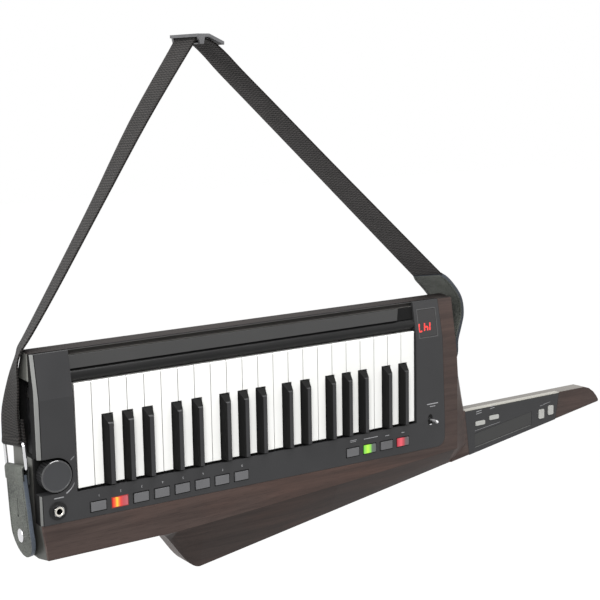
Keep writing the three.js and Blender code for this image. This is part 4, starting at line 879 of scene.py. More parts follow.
def dressPanel(look):
    bm = nodeCopy("front_panel")

    def isLeftFront(edge):
        a, b = endsOf(edge)
        atLeft = max(a.x, b.x) < look["leftEdge"] and abs(a.z - b.z) > look["longEdge"]
        return atLeft and max(offFace(a), offFace(b)) < look["near"]

    def isUpper(edge):
        return isLeftFront(edge) and local(edge.verts[0]).z > look["footBelow"]

    def isFoot(edge):
        return isLeftFront(edge) and local(edge.verts[0]).z < look["footBelow"]

    def isOnFace(edge):
        return all(abs(offFace(spot)) < look["near"] for spot in endsOf(edge))

    def isFace(edge):
        return isOnFace(edge) and min(spot.x for spot in endsOf(edge)) > look["faceFrom"]

    def isSeam(edge):
        atLeft = max(spot.x for spot in endsOf(edge)) < look["seamBefore"]
        return atLeft and isOnFace(edge) and min(face.normal.x for face in edge.link_faces) < -0.5

    roundEdges(bm, look["leftChamfer"], 1, 60, isUpper, False)
    roundEdges(bm, look["footChamfer"], 1, 60, isFoot, False)
    roundEdges(bm, look["round"], 2, 60, isFace)
    bm.normal_update()
    roundEdges(bm, look["seam"], 1, 20, isSeam, False)
    bm.normal_update()
    side = [face for face in bm.faces if face.normal.x < -0.9 and middleOf(face).x < -42.5]
    around = {part for face in side for part in (*face.edges, *face.verts)}
    bmesh.ops.bisect_plane(bm, geom=side + list(around), plane_co=at(0, look["lightDeep"], 0),
                           plane_no=(0, 1, 0))
    paintFaces(bm, look["finishes"], look["regions"])
    # Painted shade black in the knob's well
    for face in bm.faces:
        spot = middleOf(face)
        reach = math.hypot(spot.x - knobLook["x"], spot.z - knobLook["z"])
        sunk = offFace(spot) > knobLook["wellDeep"] and spot.x > knobLook["wellFrom"]
        if face.material_index == 0 and reach < knobLook["wellRadius"] and sunk:
            face.material_index = look["finishes"].index("recessBlack")
    swapNode("front_panel", bm, look["finishes"], sharp=18)


dressPanel(panelLook)
refined("touch_strip", "ribbon", size=0.3)
refined("neck_touch_strip", "neckRibbon", size=0.2)


neckPanelLook = {"lip": 1.1, "top": -116, "near": 0.1, "longEdge": 50, "finishes": ["blackPanel", "neckLipPaintedHighlight"]}


def dressNeckPanel(look):
    # The upper edge is a broad lip, painted pale as a highlight
    bm = nodeCopy("neck_panel")

    def isTopFront(edge):
        a, b = endsOf(edge)
        high = min(a.z, b.z) > look["top"] - look["near"] and abs(a.x - b.x) > look["longEdge"]
        return high and max(a.y, b.y) < neckFace + look["near"]

    roundEdges(bm, look["lip"], 2, 60, isTopFront, False)
    lip = ("neckLipPaintedHighlight", dict(z=above(look["top"] - look["lip"])), dict(z=above(0.2)))
    paintFaces(bm, look["finishes"], [lip])
    swapNode("neck_panel", bm, look["finishes"])


dressNeckPanel(neckPanelLook)
refined("neck_button_mat", "neckButton", size=0.35, corner=60, body="neck_button_mat")
refined("back_cover", "darkPlastic", size=0.4, corner=60)
refined("battery_door", "darkPlastic", size=0.3, corner=60, body="battery_door")
refined("connector_panel", "darkPlastic", size=0.15, corner=60)
refined("program_button_bank", "programCaps", size=0.4, corner=60, body="program_button_bank")
refined("function_button_bank", "functionCaps", size=0.4, corner=60, body="function_button_bank")
refined("toggle_lever", "satinBat", size=0.0, body="toggle_lever", sharp=50)
print("body and panels dressed")

# Printed marks: numbers over the eight buttons, and short plain lines by the other controls
printLook = {
    "thick": 0.05,
    "numberHigh": 2.6,
    "numberZ": -124.9,
    "numberShift": 1.2,
    "letterShare": 0.7,
    # left, right, height and thickness of each line
    "lines": [(-28, -17, -117.7, 1.0), (352.3, 362, -120.6, 0.7), (353, 361, -122.4, 0.7),
              (373, 394, -121.9, 0.9), (405.4, 411.4, -123.2, 0.9), (430.5, 435, -123.4, 0.9),
              (470.8, 488.5, -94.3, 1.1), (475.4, 484, -97.6, 0.9)],
    # left, right, height at the left and at the right, and thickness
    "neckLines": [(562.3, 571.4, -120.6, -119.6, 0.9), (562.3, 571.4, -123.4, -122.4, 0.8),
                  (586.3, 593.8, -117.3, -116.5, 0.9), (586.3, 593.8, -120.0, -119.2, 0.8),
                  (560.4, 603.6, -145.3, -140.3, 0.35), (675.1, 693.5, -130.3, -127.2, 0.4),
                  (681.5, 688, -129.0, -128.0, 0.9)],
    # A pale line along the neck recess's lower edge, a painted highlight
    "neckLipPaintedHighlight": (560.6, 658.0, -167.2, -153.6, 0.7),
    "tick": (-5.4, -77.8, 5.4, 0.8, 40.0),  # place, length, thickness and angle
    "wedge": (23.4, -27.0, -62.0, 1.5),  # radius, first and last angle, thickness
    "wedgeSteps": 14,
    "wedgeTaper": 0.85,
}


def slantedLine(bm, left, right, zLeft, zRight, high, face, thick):
    # A flat bar between two heights on a face of the given depth
    for vert in newCube(bm):
        side = vert.co.x + 0.5
        z = zLeft + (zRight - zLeft) * side + vert.co.z * high
        vert.co = at(left + (right - left) * side, face - thick / 2 + vert.co.y * thick, z)


def numberMesh(bm, text, x, z, look):
    curve = bpy.data.curves.new("number", "FONT")
    curve.body = text
    curve.size = look["numberHigh"] / 1000 / look["letterShare"]
    curve.extrude = look["thick"] / 2000
    curve.align_x = "CENTER"
    mesh = bakedMesh(curve)
    turn = Matrix.Rotation(math.radians(90), 4, "X") @ Matrix.Rotation(math.radians(180), 4, "Z")
    place = at(x, panelFace["front"] - look["thick"] / 2, z + look["numberHigh"])
    mesh.transform(Matrix.Translation(place) @ turn)
    bm.from_mesh(mesh)
    bpy.data.meshes.remove(mesh)


def printMarks(look):
    bm = bmesh.new()
    front, thick = panelFace["front"], look["thick"]
    for i in range(8):
        x = capLook["programFirst"] + look["numberShift"] + i * capLook["pitch"]
        numberMesh(bm, str(i + 1), x, look["numberZ"], look)
    for left, right, z, high in look["lines"]:
        slantedLine(bm, left, right, z, z, high, front, thick)
    x, z, long, high, angle = look["tick"]
    rise, run = math.sin(math.radians(angle)) * long / 2, math.cos(math.radians(angle)) * long / 2
    slantedLine(bm, x - run, x + run, z - rise, z + rise, high, front, thick)
    # A wedge that widens round the knob, from quiet to loud
    radius, first, last, thickest = look["wedge"]
    grid = bmesh.ops.create_grid(bm, x_segments=look["wedgeSteps"], y_segments=1, size=0.5)["verts"]
    for vert in grid:
        share = vert.co.x + 0.5
        angle = math.radians(last + (first - last) * share)
        reach = radius + vert.co.y * thickest * (1 - share * look["wedgeTaper"])
        vert.co = at(knobLook["x"] + reach * math.cos(angle), front - thick,
                     knobLook["z"] + reach * math.sin(angle))
    bmesh.ops.recalc_face_normals(bm, faces=bm.faces)
    newPiece("panel_marks", bm, "printedMark")
    # The neck's printed lines, and the painted highlight along the neck recess's lower edge
    for name, lines, finish, slot in (("neck_marks", look["neckLines"], "printedMark", "button"),
                                      ("neck_recess_painted_highlight", [look["neckLipPaintedHighlight"]], "sideSheen", "black_panel")):
        bm = bmesh.new()
        for line in lines:
            slantedLine(bm, *line, neckFace, thick)
        newPiece(name, bm, finish)


printMarks(printLook)


def makeKnob(look):
    # A fluted skirt under a smooth crown with a raised rim
    bm = bmesh.new()
    ring = bmesh.ops.create_circle(bm, cap_ends=False, segments=look["flutes"] * look["perFlute"],
                                   radius=look["radius"] / 1000)["verts"]
    for i, vert in enumerate(ring):
        inward = look["deep"] * (0.5 - 0.5 * math.cos(math.tau * i / look["perFlute"]))
        vert.co *= 1 - inward / look["radius"]
        vert.co.z = look["foot"] / 1000
    edges = list({edge for vert in ring for edge in vert.link_edges})
    for behind, share in look["levels"]:
        made = bmesh.ops.extrude_edge_only(bm, edges=edges)["geom"]
        edges = [item for item in made if isinstance(item, bmesh.types.BMEdge)]
        for vert in vertsIn(made):
            if share:
                outward = Vector((vert.co.x, vert.co.y, 0)).normalized()
                vert.co = outward * look["radius"] * share / 1000
            vert.co.z = (look["face"] + behind) / 1000
    bmesh.ops.holes_fill(bm, edges=bm.edges, sides=0)
    bmesh.ops.recalc_face_normals(bm, faces=bm.faces)
    bmesh.ops.rotate(bm, cent=(0, 0, 0), matrix=facingBack, verts=bm.verts)
    bmesh.ops.translate(bm, vec=at(look["x"], 0, look["z"]), verts=bm.verts)
    kinds = ["knobPlastic", "knobRim", "knobSkirt"]
    for face in bm.faces:
        spot = middleOf(face)
        behind = spot.y - look["face"]
        reach = math.hypot(spot.x - look["x"], spot.z - look["z"]) / look["radius"]
        if behind > look["skirtBehind"] or reach > look["skirtReach"]:
            face.material_index = kinds.index("knobSkirt")
        elif reach > look["rimReach"] and behind < look["rimBehind"]:
            face.material_index = kinds.index("knobRim")
    swapNode("volume_knob", bm, kinds, "volume_knob", 24)


makeKnob(knobLook)

# Output jack: black washer, hexagon nut and a threaded barrel whose bore is painted shade black
jackLook = {
    "x": -24.1, "z": -131.4,
    "washer": 9.8, "washerTop": -4.2, "washerSeat": -4.0, "washerFoot": -3.32,
    "nut": 6.2, "nutHigh": 2.5, "nutSeat": -4.05, "nutRound": 0.25,
    "barrel": 5.0, "mouth": -7.2, "end": 27.0,
    "bore": 3.25, "inside": 20.0,
    "turns": 3, "pitch": 0.28, "crest": -7.0, "root": -6.86,
}
hexagonShare = 0.866  # from the middle of a hexagon to its flat side, as a share of its corner


def makeJack(look):
    x, z = look["x"], look["z"]
    washer, nut, barrel, bore = (look[size] for size in ("washer", "nut", "barrel", "bore"))
    top, seat, foot = look["washerTop"], look["washerSeat"], look["washerFoot"]
    bm = bmesh.new()
    profile = [(barrel + 0.1, foot), (washer - 0.3, foot), (washer, -3.55), (washer, -3.9),
               (washer - 0.5, top), (nut + 0.6, top), (nut + 0.2, seat), (barrel + 0.1, seat),
               (barrel + 0.1, foot)]
    turned(bm, profile, x, 0, z)
    newPiece("jack_washer", bm, "blackened")
    bm = bmesh.new()
    ring = bmesh.ops.create_circle(bm, cap_ends=True, segments=6, radius=nut / 1000)["verts"]
    hexagon = ring[0].link_faces[0]
    bmesh.ops.inset_individual(bm, faces=[hexagon], thickness=(nut * hexagonShare - barrel) / 1000)
    bmesh.ops.delete(bm, geom=[hexagon], context="FACES")
    standPlate(bm, look["nutHigh"], look["nutRound"], (x, look["nutSeat"], z))
    newPiece("jack_nut", bm, "chrome", sharp=40)
    bm = bmesh.new()
    mouth, inside, end = look["mouth"], look["inside"], look["end"]
    steps = [(bore, inside), (bore, mouth + 0.3), (bore + 0.35, mouth), (barrel - 0.5, mouth)]
    for turn in range(look["turns"]):
        along = turn * look["pitch"]
        steps += [(barrel - 0.08, look["crest"] + along), (barrel - 0.45, look["root"] + along)]
    steps += [(barrel - 0.1, -6.0), (barrel - 0.1, end), (0.0, end)]
    turned(bm, steps, x, 0, z)
    floor, rim = inside - 0.1, bore - 0.3
    turned(bm, [(bore - 0.01, -6.4), (rim, -6.4), (rim, floor), (0.0, floor)], x, 0, z, finish=1)
    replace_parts(newPiece("jack_barrel", bm, ["nickel", "recessBlack"]), "output_jack")


makeJack(jackLook)

# Toggle switch: an upright slot plate of painted shade black, its light lip, and a flanged nut round the bat
toggleLook = {
    "x": 476.2, "z": -114.4,
    "hole": 3.35, "mouth": 3.5, "nut": 3.7, "nutRound": 0.35, "high": 1.1, "deep": 1.2,
    "slotWide": 6.4, "slotHigh": 14.0, "slotThick": 0.3, "slotSunk": 0.02,
    "lipHalf": 1.7, "lipRound": 0.15,
    "lipProud": (0.7, 0.3),  # its front and back, before the panel's face
    "lipAbove": (0.6, 1.9),  # its foot and top, above the slot's foot
}


def makeToggleNut(look):
    x, z, nut, hole = look["x"], look["z"], look["nut"], look["hole"]
    front, curve = panelFace["front"], look["nutRound"]
    top, sunk = front - look["high"], front + look["deep"]
    bm = bmesh.new()
    profile = [(hole, sunk), (hole, top + 0.2), (look["mouth"], top), (nut - curve, top), (nut, top + curve),
               (nut, front), (nut, sunk), (hole, sunk)]
    turned(bm, profile, x, 0, z)
    newPiece("toggle_nut", bm, "blackened", sharp=40)
    bm = bmesh.new()
    wide, high = look["slotWide"] / 2, look["slotHigh"] / 2
    ring = bmesh.ops.create_circle(bm, cap_ends=True, segments=32, radius=wide / 1000)["verts"]
    bmesh.ops.inset_individual(bm, faces=list(ring[0].link_faces), thickness=0.0)
    for vert in bm.verts:
        vert.co.y += math.copysign(high - wide, vert.co.y) / 1000
    standPlate(bm, look["slotThick"], 0, (x, front + look["slotSunk"], z))
    newPiece("toggle_slot", bm, "recessBlack")
    bm = bmesh.new()
    half, foot = look["lipHalf"], z - high
    near, far = look["lipProud"]
    low, tall = look["lipAbove"]
    block(bm, (x - half, front - near, foot + low), (x + half, front - far, foot + tall), look["lipRound"])
    newPiece("toggle_slot_lip", bm, "chrome")


makeToggleNut(toggleLook)


def outline(bm, left, right, low, high, wide, depthAt, thick):
    # Four thin bars round an opening, on a face whose depth may change with the height
    sides = [(left - wide, left, low - wide, high + wide), (right, right + wide, low - wide, high + wide),
             (left, right, low - wide, low), (left, right, high, high + wide)]
    for a, b, c, d in sides:
        for vert in newCube(bm):
            z = (c + d) / 2 + vert.co.z * (d - c)
            depth = depthAt(z) - thick / 2 + vert.co.y * thick
            vert.co = at((a + b) / 2 + vert.co.x * (b - a), depth, z)


frameLook = {"gap": 0.3, "wide": 0.8, "thick": 0.08, "lit": 1}


def makeButtonFrames(look):
    # Thin rims of painted shade black round the caps; in one of them the lamp's light is painted as a glow
    lit = look["lit"]
    dark = [("programFirst", i) for i in range(8) if i != lit] + [("functionFirst", i) for i in range(4)]
    wide, high = capLook["wide"] / 2 + look["gap"], capLook["high"] / 2 + look["gap"]
    for name, finish, places in (("button_gap_painted_shade", "recessBlack", dark),
                                 ("button_frame_lit", "lampLeak", [("programFirst", lit)])):
        bm = bmesh.new()
        for first, i in places:
            x = capLook[first] + i * capLook["pitch"]
            outline(bm, x - wide, x + wide, capLook["z"] - high, capLook["z"] + high, look["wide"],
                    lambda z: panelFace["front"], look["thick"])
        newPiece(name, bm, finish)


makeButtonFrames(frameLook)


# Display: a thin frame round the window and three lit digits of seven bars, read from above
displayLook = {
    "middle": 471.8, "z": 3.4, "high": 9.6, "wide": 4.9, "pitch": 8.4, "bar": 1.8, "lean": 0.12,
    "barGap": 0.25, "barDeep": 0.06, "barThick": 0.08,
    "frame": (460.2, 488.2, -9.0, 25.0), "frameWide": 0.7, "frameThick": 0.06,
    "lit": ["abe", "abcd", "ab"],
}


def makeDisplay(look):
    refined("display_window", "smoke", size=0.25)
    bm = bmesh.new()
    outline(bm, *look["frame"], look["frameWide"], faceDepth, look["frameThick"])
    newPiece("display_outline", bm, "windowLine")
    bm = bmesh.new()
    half, tall, gap = look["wide"] / 2, look["high"] / 2, look["barGap"]
    # Bars by their two ends, in half widths and half heights of a digit
    bars = {"a": ((-1, 0), (-1, 1)), "b": ((-1, -1), (-1, 0)), "c": ((-1, 0), (1, 0)), "d": ((1, -1), (1, 0)),
            "e": ((-1, -1), (1, -1))}
    for place, lit in enumerate(look["lit"]):
        middle = look["middle"] + (place - 1) * look["pitch"]
        for name in lit:
            a, b = (Vector((across * half, up * tall)) for across, up in bars[name])
            along = (b - a).normalized()
            a, b = a + along * gap, b - along * gap
            side = Vector((-along.y, along.x)) * look["bar"]
            for vert in newCube(bm):
                spot = a.lerp(b, vert.co.x + 0.5) + side * vert.co.z
                z = look["z"] + spot.y
                vert.co = at(middle + spot.x + spot.y * look["lean"],
                             faceDepth(z) + look["barDeep"] + look["barThick"] * vert.co.y, z)
    bmesh.ops.recalc_face_normals(bm, faces=bm.faces)
    newPiece("display_digits", bm, "segment")


makeDisplay(displayLook)
print("controls made")

# Screws: a domed head with a cross slot of painted shade black, sunk in the back cover, and smaller ones
# beside the sockets
backFace = 65.0
screwLook = {
    "head": 3.2, "slot": 0.55, "slotReach": 1.1, "slotDeep": (64.9, 64.995),
    "across": (28, 160, 282, 432), "up": (-66, -134),
    "sideFace": -36.0, "sideBack": 28.4, "sideUp": (2.2, -21.5, -46.6, -70),
}


def makeScrews(look):
    head, slot = look["head"], look["slot"]
    places = [(x, z) for x in look["across"] for z in look["up"]]
    bm = bmesh.new()
    dome = [(0, backFace - 0.05), (0.5, backFace - 0.05), (head - 0.6, 64.99), (head, 64.8), (head, 64.2),
            (0, 64.2)]
    for x, z in places:
        turned(bm, dome, x, 0, z, sides=24)
    small = [(0, -0.6), (1.2, -0.55), (1.7, -0.2), (1.7, 0.0), (0, 0.0)]
    for z in look["sideUp"]:
        turned(bm, small, look["sideFace"], look["sideBack"], z, "x", 20)
    newPiece("case_screws", bm, "blackened", sharp=40)
    bm = bmesh.new()
    near, far = look["slotDeep"]
    reach = head * look["slotReach"]
    for x, z in places:
        for wide, high in ((reach, slot), (slot, reach)):
            block(bm, (x - wide / 2, near, z - high / 2), (x + wide / 2, far, z + high / 2))
    newPiece("screw_slots", bm, "recessBlack")


makeScrews(screwLook)

# Sockets: pins, a contact tongue and a centre pin inside the moulded bodies
socketLook = {
    "face": -36.0, "floor": -26.4, "back": 28.5, "round": -10.0, "square": -34.0, "power": -56.0,
    "shellBore": 6.95, "shell": 7.9, "pinCircle": 4.2, "pins": 5, "pinStep": 45,
    # length, radius of the tip, radius, and length of the taper
    "pin": (6.0, 0.45, 0.7, 0.6), "centrePin": (7.0, 0.6, 1.0, 0.8),
    "tongueLong": 6.5, "tongueHalf": 1.6, "tongueUp": (-2.4, -1.2),
}


def makeSockets(look):
    bm = bmesh.new()
    face, floor, back = look["face"], look["floor"], look["back"]

    def contactPin(shape, y, z, sides):
        long, tip, radius, taper = shape
        end = floor - long
        profile = [(0, end), (tip, end + 0.2), (radius, end + taper), (radius, floor), (0, floor)]
        turned(bm, profile, 0, y, z, "x", sides)

    bore, shell = look["shellBore"], look["shell"]
    profile = [(bore, face + 0.4), (shell, face + 0.4), (shell, face - 0.2), (shell - 0.5, face - 0.5),
               (bore, face - 0.2), (bore, face + 0.4)]
    turned(bm, profile, 0, back, look["round"], "x", 40)
    for i in range(look["pins"]):
        angle = math.radians(180 + i * look["pinStep"])
        y, z = back + look["pinCircle"] * math.cos(angle), look["round"] + look["pinCircle"] * math.sin(angle)
        contactPin(look["pin"], y, z, 12)
    contactPin(look["centrePin"], back, look["power"], 16)
    half = look["tongueHalf"]
    low, high = (look["square"] + up for up in look["tongueUp"])
    block(bm, (floor - look["tongueLong"], back - half, low), (floor, back + half, high), 0.2)
    newPiece("socket_contacts", bm, "nickel", sharp=40)


makeSockets(socketLook)

# Grip ribs on the battery door
doorLook = {"x": 354, "top": -94, "ribs": 7, "step": 3.0, "half": 14, "high": 1.2, "deep": 0.4, "round": 0.15}


def makeDoorRibs(look):
    bm = bmesh.new()
    x, half = look["x"], look["half"]
    for i in range(look["ribs"]):
        z = look["top"] - i * look["step"]
        low, high = (x - half, backFace - look["deep"], z), (x + half, backFace, z + look["high"])
        block(bm, low, high, look["round"])
    newPiece("battery_door_ribs", bm, "darkPlastic", "battery_door")


makeDoorRibs(doorLook)
print("screws, sockets and door details made")

# Strap. The ring and what it holds swing back about the left pin
ringLook = {"x": -49.5, "top": -62.0, "foot": -90.0, "front": 6.0, "rear": 60.0, "wire": 2.0, "corner": 4.0}
strapLook = {
    "middle": 33.0, "lean": 9.0, "pinZ": -161.0, "pinForward": 3.5,
    "webWide": 48.0, "webThick": 1.9,
    "loopReach": 3.35, "loopInside": 0.4, "loopOutside": 0.8, "loopAbove": 5,
    "sewnAbove": 24, "sewnStep": 4, "sewnPoints": 5,
    # across, up, twist in degrees, and how far behind the ring's middle
    "route": [(-51.6, -52.75, 0, 13.65), (-50.9, -31.97, -2.3, 14.3), (-47.2, -1.26, -9.3, 10.3),
              (-43.65, 23.97, -19.9, 6.95), (-40.63, 35.45, -18.7, 5.4), (-30.57, 51.2, -16.4, 3.1),
              (-2.0, 95.4, -14, 1.87), (52.1, 181.2, -10.85, 0.56), (104.7, 265.7, -5, 0),
              (158.5, 342.2, -2, 0), (166, 352, 0, 0), (172, 352, 0, 0), (185, 347.9, 0, 0),
              (200, 336.2, -1, 0), (220, 316.9, -2, 0), (260, 280.55, -3, 0), (340, 207.6, -5, 0),
              (420, 135, -8, 0), (503, 59.7, -11, 0)],
}
leanTurn = Matrix.Rotation(math.radians(-strapLook["lean"]), 3, "X")
pinPlace = Vector((0, strapLook["middle"], strapLook["pinZ"]))


def leaned(spot):
    return pinPlace + leanTurn @ (Vector(spot) - pinPlace) - Vector((0, strapLook["pinForward"], 0))


def smoothRoute(points, steps):
    # A smooth line through points of any number of values
    ends = [points[0]] + list(points) + [points[-1]]
    made = []
    for i in range(1, len(ends) - 2):
        before, here, there, after = (Vector(point) for point in ends[i - 1:i + 3])
        slope = there - before
        bend = 2 * before - 5 * here + 4 * there - after
        twist = 3 * here - before - 3 * there + after
        for k in range(steps):
            t = k / steps
            made.append(0.5 * (2 * here + slope * t + bend * t * t + twist * t ** 3))
    made.append(Vector(points[-1]))
    return made


def walkedAlong(centres):
    # The distance along a line at each of its points
    walked = [0.0]
    for a, b in zip(centres, centres[1:]):
        walked.append(walked[-1] + (b - a).length)
    return walked


def ribbon(centres, wides, widthAt, across):
    # A flat band along its centre line, with a UV map in metres; its first side keeps finish 0
    last = len(centres) - 1
    walked = walkedAlong(centres)
    bm = bmesh.new()
    uvLayer = bm.loops.layers.uv.new("strip")
    bmesh.ops.create_grid(bm, x_segments=across, y_segments=last, size=1.0)
    spread = {}
    for vert in bm.verts:
        u = vert.co.x / 2
        i = round((vert.co.y + 1) / 2 * last)
        width = widthAt(walked[i], walked[-1])
        vert.co = at(*(centres[i] + wides[i] * (u * width)))
        spread[vert] = (u * width / 1000, walked[i] / 1000)
    for face in bm.faces:
        for loop in face.loops:
            loop[uvLayer].uv = spread[loop.vert]
    return bm


def bandPiece(name, centres, wides, widthAt, thick, kinds, across):
    # A ribbon given its thickness: finishes of its outer side, its rim and its inner side
    piece = newObject(name, ribbon(centres, wides, widthAt, across), kinds)
    solid = piece.modifiers.new("thickness", "SOLIDIFY")
    solid.thickness = thick / 1000
    solid.offset = 0.0
    solid.material_offset_rim = 1
    solid.material_offset = 2
    rounded = piece.modifiers.new("rim", "BEVEL")
    rounded.width = thick / 4000
    rounded.segments = 2
    rounded.limit_method = "ANGLE"
    rounded.angle_limit = math.radians(60)
    piece.data.shade_smooth()
    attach(piece, "instrument")
    return piece


def frameOf(centres, twists, lean):
    # The direction of a band's width at each of its points
    leanedWide = leanTurn @ Vector((0, 1, 0))
    last = len(centres) - 1
    wides = []
    for i in range(last + 1):
        along = (centres[min(i + 1, last)] - centres[max(i - 1, 0)]).normalized()
        flat = Vector((0, 1, 0)).lerp(leanedWide, lean[i])
        wide = (flat - along * flat.dot(along)).normalized()
        wides.append(Matrix.Rotation(math.radians(twists[i]), 3, along) @ wide)
    return wides


def makeWebbing(look):
    finishes["webbing"] = makeWeave("webbing", weaveLook, "outer", look["webWide"])
    finishes["webbingPaintedShade"] = makeWeave("webbingPaintedShade", weaveLook, "inner", look["webWide"])
    middle, x, top, reach = look["middle"], ringLook["x"], ringLook["top"], look["loopReach"]
    # Sewn end, inner side, up to the ring's bar, round it and up
    inner = x + reach - look["loopInside"]
    loop = [leaned((inner, middle, top + look["sewnAbove"] - look["sewnStep"] * i))
            for i in range(look["sewnPoints"])]
    for angle in range(0, -181, -20):
        turn = math.radians(angle)
        loop.append(leaned((x + reach * math.cos(turn), middle, top + reach * math.sin(turn))))
    loop.append(leaned((x - reach + look["loopOutside"], middle, top + look["loopAbove"])))
    points = [(*spot, 0.0, 1.0) for spot in loop]
    for i, (px, pz, twist, back) in enumerate(look["route"]):
        points.append((px, middle + back, pz, twist, max(0.0, 1 - i / 4)))
    made = smoothRoute(points, 4)
    centres = [Vector(spot[:3]) for spot in made]
    wides = frameOf(centres, [spot[3] for spot in made], [spot[4] for spot in made])
    kinds = ["webbing", "webbingPaintedShade", "webbingPaintedShade"]
    piece = bandPiece("strap_webbing_made", centres, wides, lambda far, total: look["webWide"],
                      look["webThick"], kinds, 8)
    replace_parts(piece, "strap_webbing")


makeWebbing(strapLook)

# Leather ends
leatherLook = {
    "leftWide": 51.0, "rightWide": 53.0, "leftThick": 4.6, "rightThick": 4.2, "forward": 1.2,
    "stitchInset": 3.4, "stitch": 2.0, "stitchWide": 0.77, "stitchDeep": 0.5, "stitchStep": 3.4,
    "stitchLift": 0.05, "leftStitched": (14, 66), "rightStitched": (6, 104),
    "foldThick": 2.0, "foldShare": 0.97, "foldReach": 3.4,
    "foldInside": 1.9, "foldInsideFoot": 16, "foldOutside": 3.9, "foldOutsideTop": 3.5,
    # Points along the left end, as shares of its length
    "leftShares": (-0.03, 0, 0.08, 0.16, 0.25, 0.34, 0.43, 0.52, 0.61, 0.7, 0.76, 0.82, 0.87, 0.915, 0.95,
                   0.975, 0.99, 1),
    "leftOutside": 2.0, "leftBelow": 8, "leftLong": 86.5, "curl": 3.5, "curlFrom": 0.68,
    # Distance along the left end, and share of its width
    "waist": [(0, 0.91), (14, 0.93), (38, 0.99), (54, 1.0)],
    "leftTip": 27, "rightTip": 25, "shoulder": 0.86, "shoulderLong": 60,
    "slitForward": 0.3, "slitHole": 1.3, "slitUp": (21, 40), "slitHalf": 0.35, "slitOutside": (4.4, 4.15),
    # across, up and twist in degrees
    "rightRoute": [(500.6, 61.8, -11), (516.4, 47.4, -11), (529.8, 30.6, -9), (534.6, 12.5, -5),
                   (532.4, -3.1, -2), (528.0, -20.4, 0), (527.6, -34, 0), (527.9, -45, 0), (528.8, -58.0, 0)],
}


def tipShare(far, total, tip):
    # What is left of a strap's width in its rounded tip
    past = min(1.0, max(0.0, (far - (total - tip)) / tip))
    return math.sqrt(max(0.001, 1 - past ** 2))


def stitches(name, centres, wides, widthAt, look, lift, first, last):
    # Short threads along both edges of a leather end, on its two sides
    walked = walkedAlong(centres)
    bm = bmesh.new()
    far = first
    while far < last:
        i = max(k for k in range(len(walked) - 1) if walked[k] <= far)
        share = (far - walked[i]) / (walked[i + 1] - walked[i])
        spot = centres[i].lerp(centres[i + 1], share)
        along = (centres[i + 1] - centres[i]).normalized()
        wide = wides[i].lerp(wides[i + 1], share).normalized()
        deep = along.cross(wide).normalized()
        half = widthAt(far, walked[-1]) / 2 - look["stitchInset"]
        for side, face in ((-1, -1), (-1, 1), (1, -1), (1, 1)):
            centre = spot + wide * half * side + deep * (face * lift)
            for vert in newCube(bm):
                x, y, z = vert.co
                vert.co = at(*(centre + along * x * look["stitch"] + wide * y * look["stitchWide"]
                               + deep * z * look["stitchDeep"]))
        far += look["stitchStep"]
    bmesh.ops.recalc_face_normals(bm, faces=bm.faces)
    newPiece(name, bm, "thread")


def leatherFold(look, x, middle):
    # The end goes up inside, round the ring's lower bar and down outside, where it ends in a seam
    bar, reach = ringLook["foot"], look["foldReach"]
    inside, outside = x + look["foldInside"], x - look["foldOutside"]
    fold = [leaned((inside, middle, bar - look["foldInsideFoot"] + 3 * i)) for i in range(4)]
    for angle in range(0, 181, 20):
        turn = math.radians(angle)
        fold.append(leaned((x - 0.4 + reach * math.cos(turn), middle, bar + reach * math.sin(turn))))
    fold += [leaned((outside, middle, bar - look["foldOutsideTop"] - 2 * i)) for i in range(5)]
    wides = frameOf(fold, [0.0] * len(fold), [1.0] * len(fold))
    bandPiece("strap_end_fold", fold, wides, lambda far, total: look["leftWide"] * look["foldShare"],
              look["foldThick"], ["leather", "leatherFold", "leatherInner"], 8)


def makeLeftLeather(look, strap):
    x, middle = ringLook["x"], strap["middle"] - look["forward"]
    leatherFold(look, x, middle)
    waist, top = look["waist"], ringLook["foot"] - look["leftBelow"]
    centres = []
    for share in look["leftShares"]:
        inward = look["curl"] * max(0.0, share - look["curlFrom"]) / (1 - look["curlFrom"])
        centres.append(leaned((x - look["leftOutside"] + inward, middle, top - share * look["leftLong"])))

    def widthAt(far, total):
        share = next((a[1] + (b[1] - a[1]) * (far - a[0]) / (b[0] - a[0]) for a, b in zip(waist, waist[1:])
                      if a[0] <= far <= b[0]), 1.0)
        return look["leftWide"] * share * tipShare(far, total, look["leftTip"])

    wides = frameOf(centres, [0.0] * len(centres), [1.0] * len(centres))
    piece = bandPiece("strap_end_left_made", centres, wides, widthAt, look["leftThick"],
                      ["leather", "leatherEdge", "leatherInner"], 10)
    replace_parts(piece, "strap_end_left")
    lift = look["leftThick"] / 2 + look["stitchLift"]
    stitches("strap_stitches_left", centres, wides, widthAt, look, lift, *look["leftStitched"])
    # The slit that lets the leather over the pin's head, as painted shade black
    bm = bmesh.new()
    y, half, hole = strap["middle"] - look["slitForward"], look["slitHalf"], look["slitHole"]
    foot, head = (strap["pinZ"] + up for up in look["slitUp"])
    outer, inner = (x - far for far in look["slitOutside"])
    turned(bm, [(0, -0.3), (hole, -0.3), (hole, 0.3), (0, 0.3)], x - 4.2, y, foot, "x", 16)
    block(bm, (outer, y - half, foot), (inner, y + half, head))
    newPiece("strap_end_slit", bm, "recessBlack")


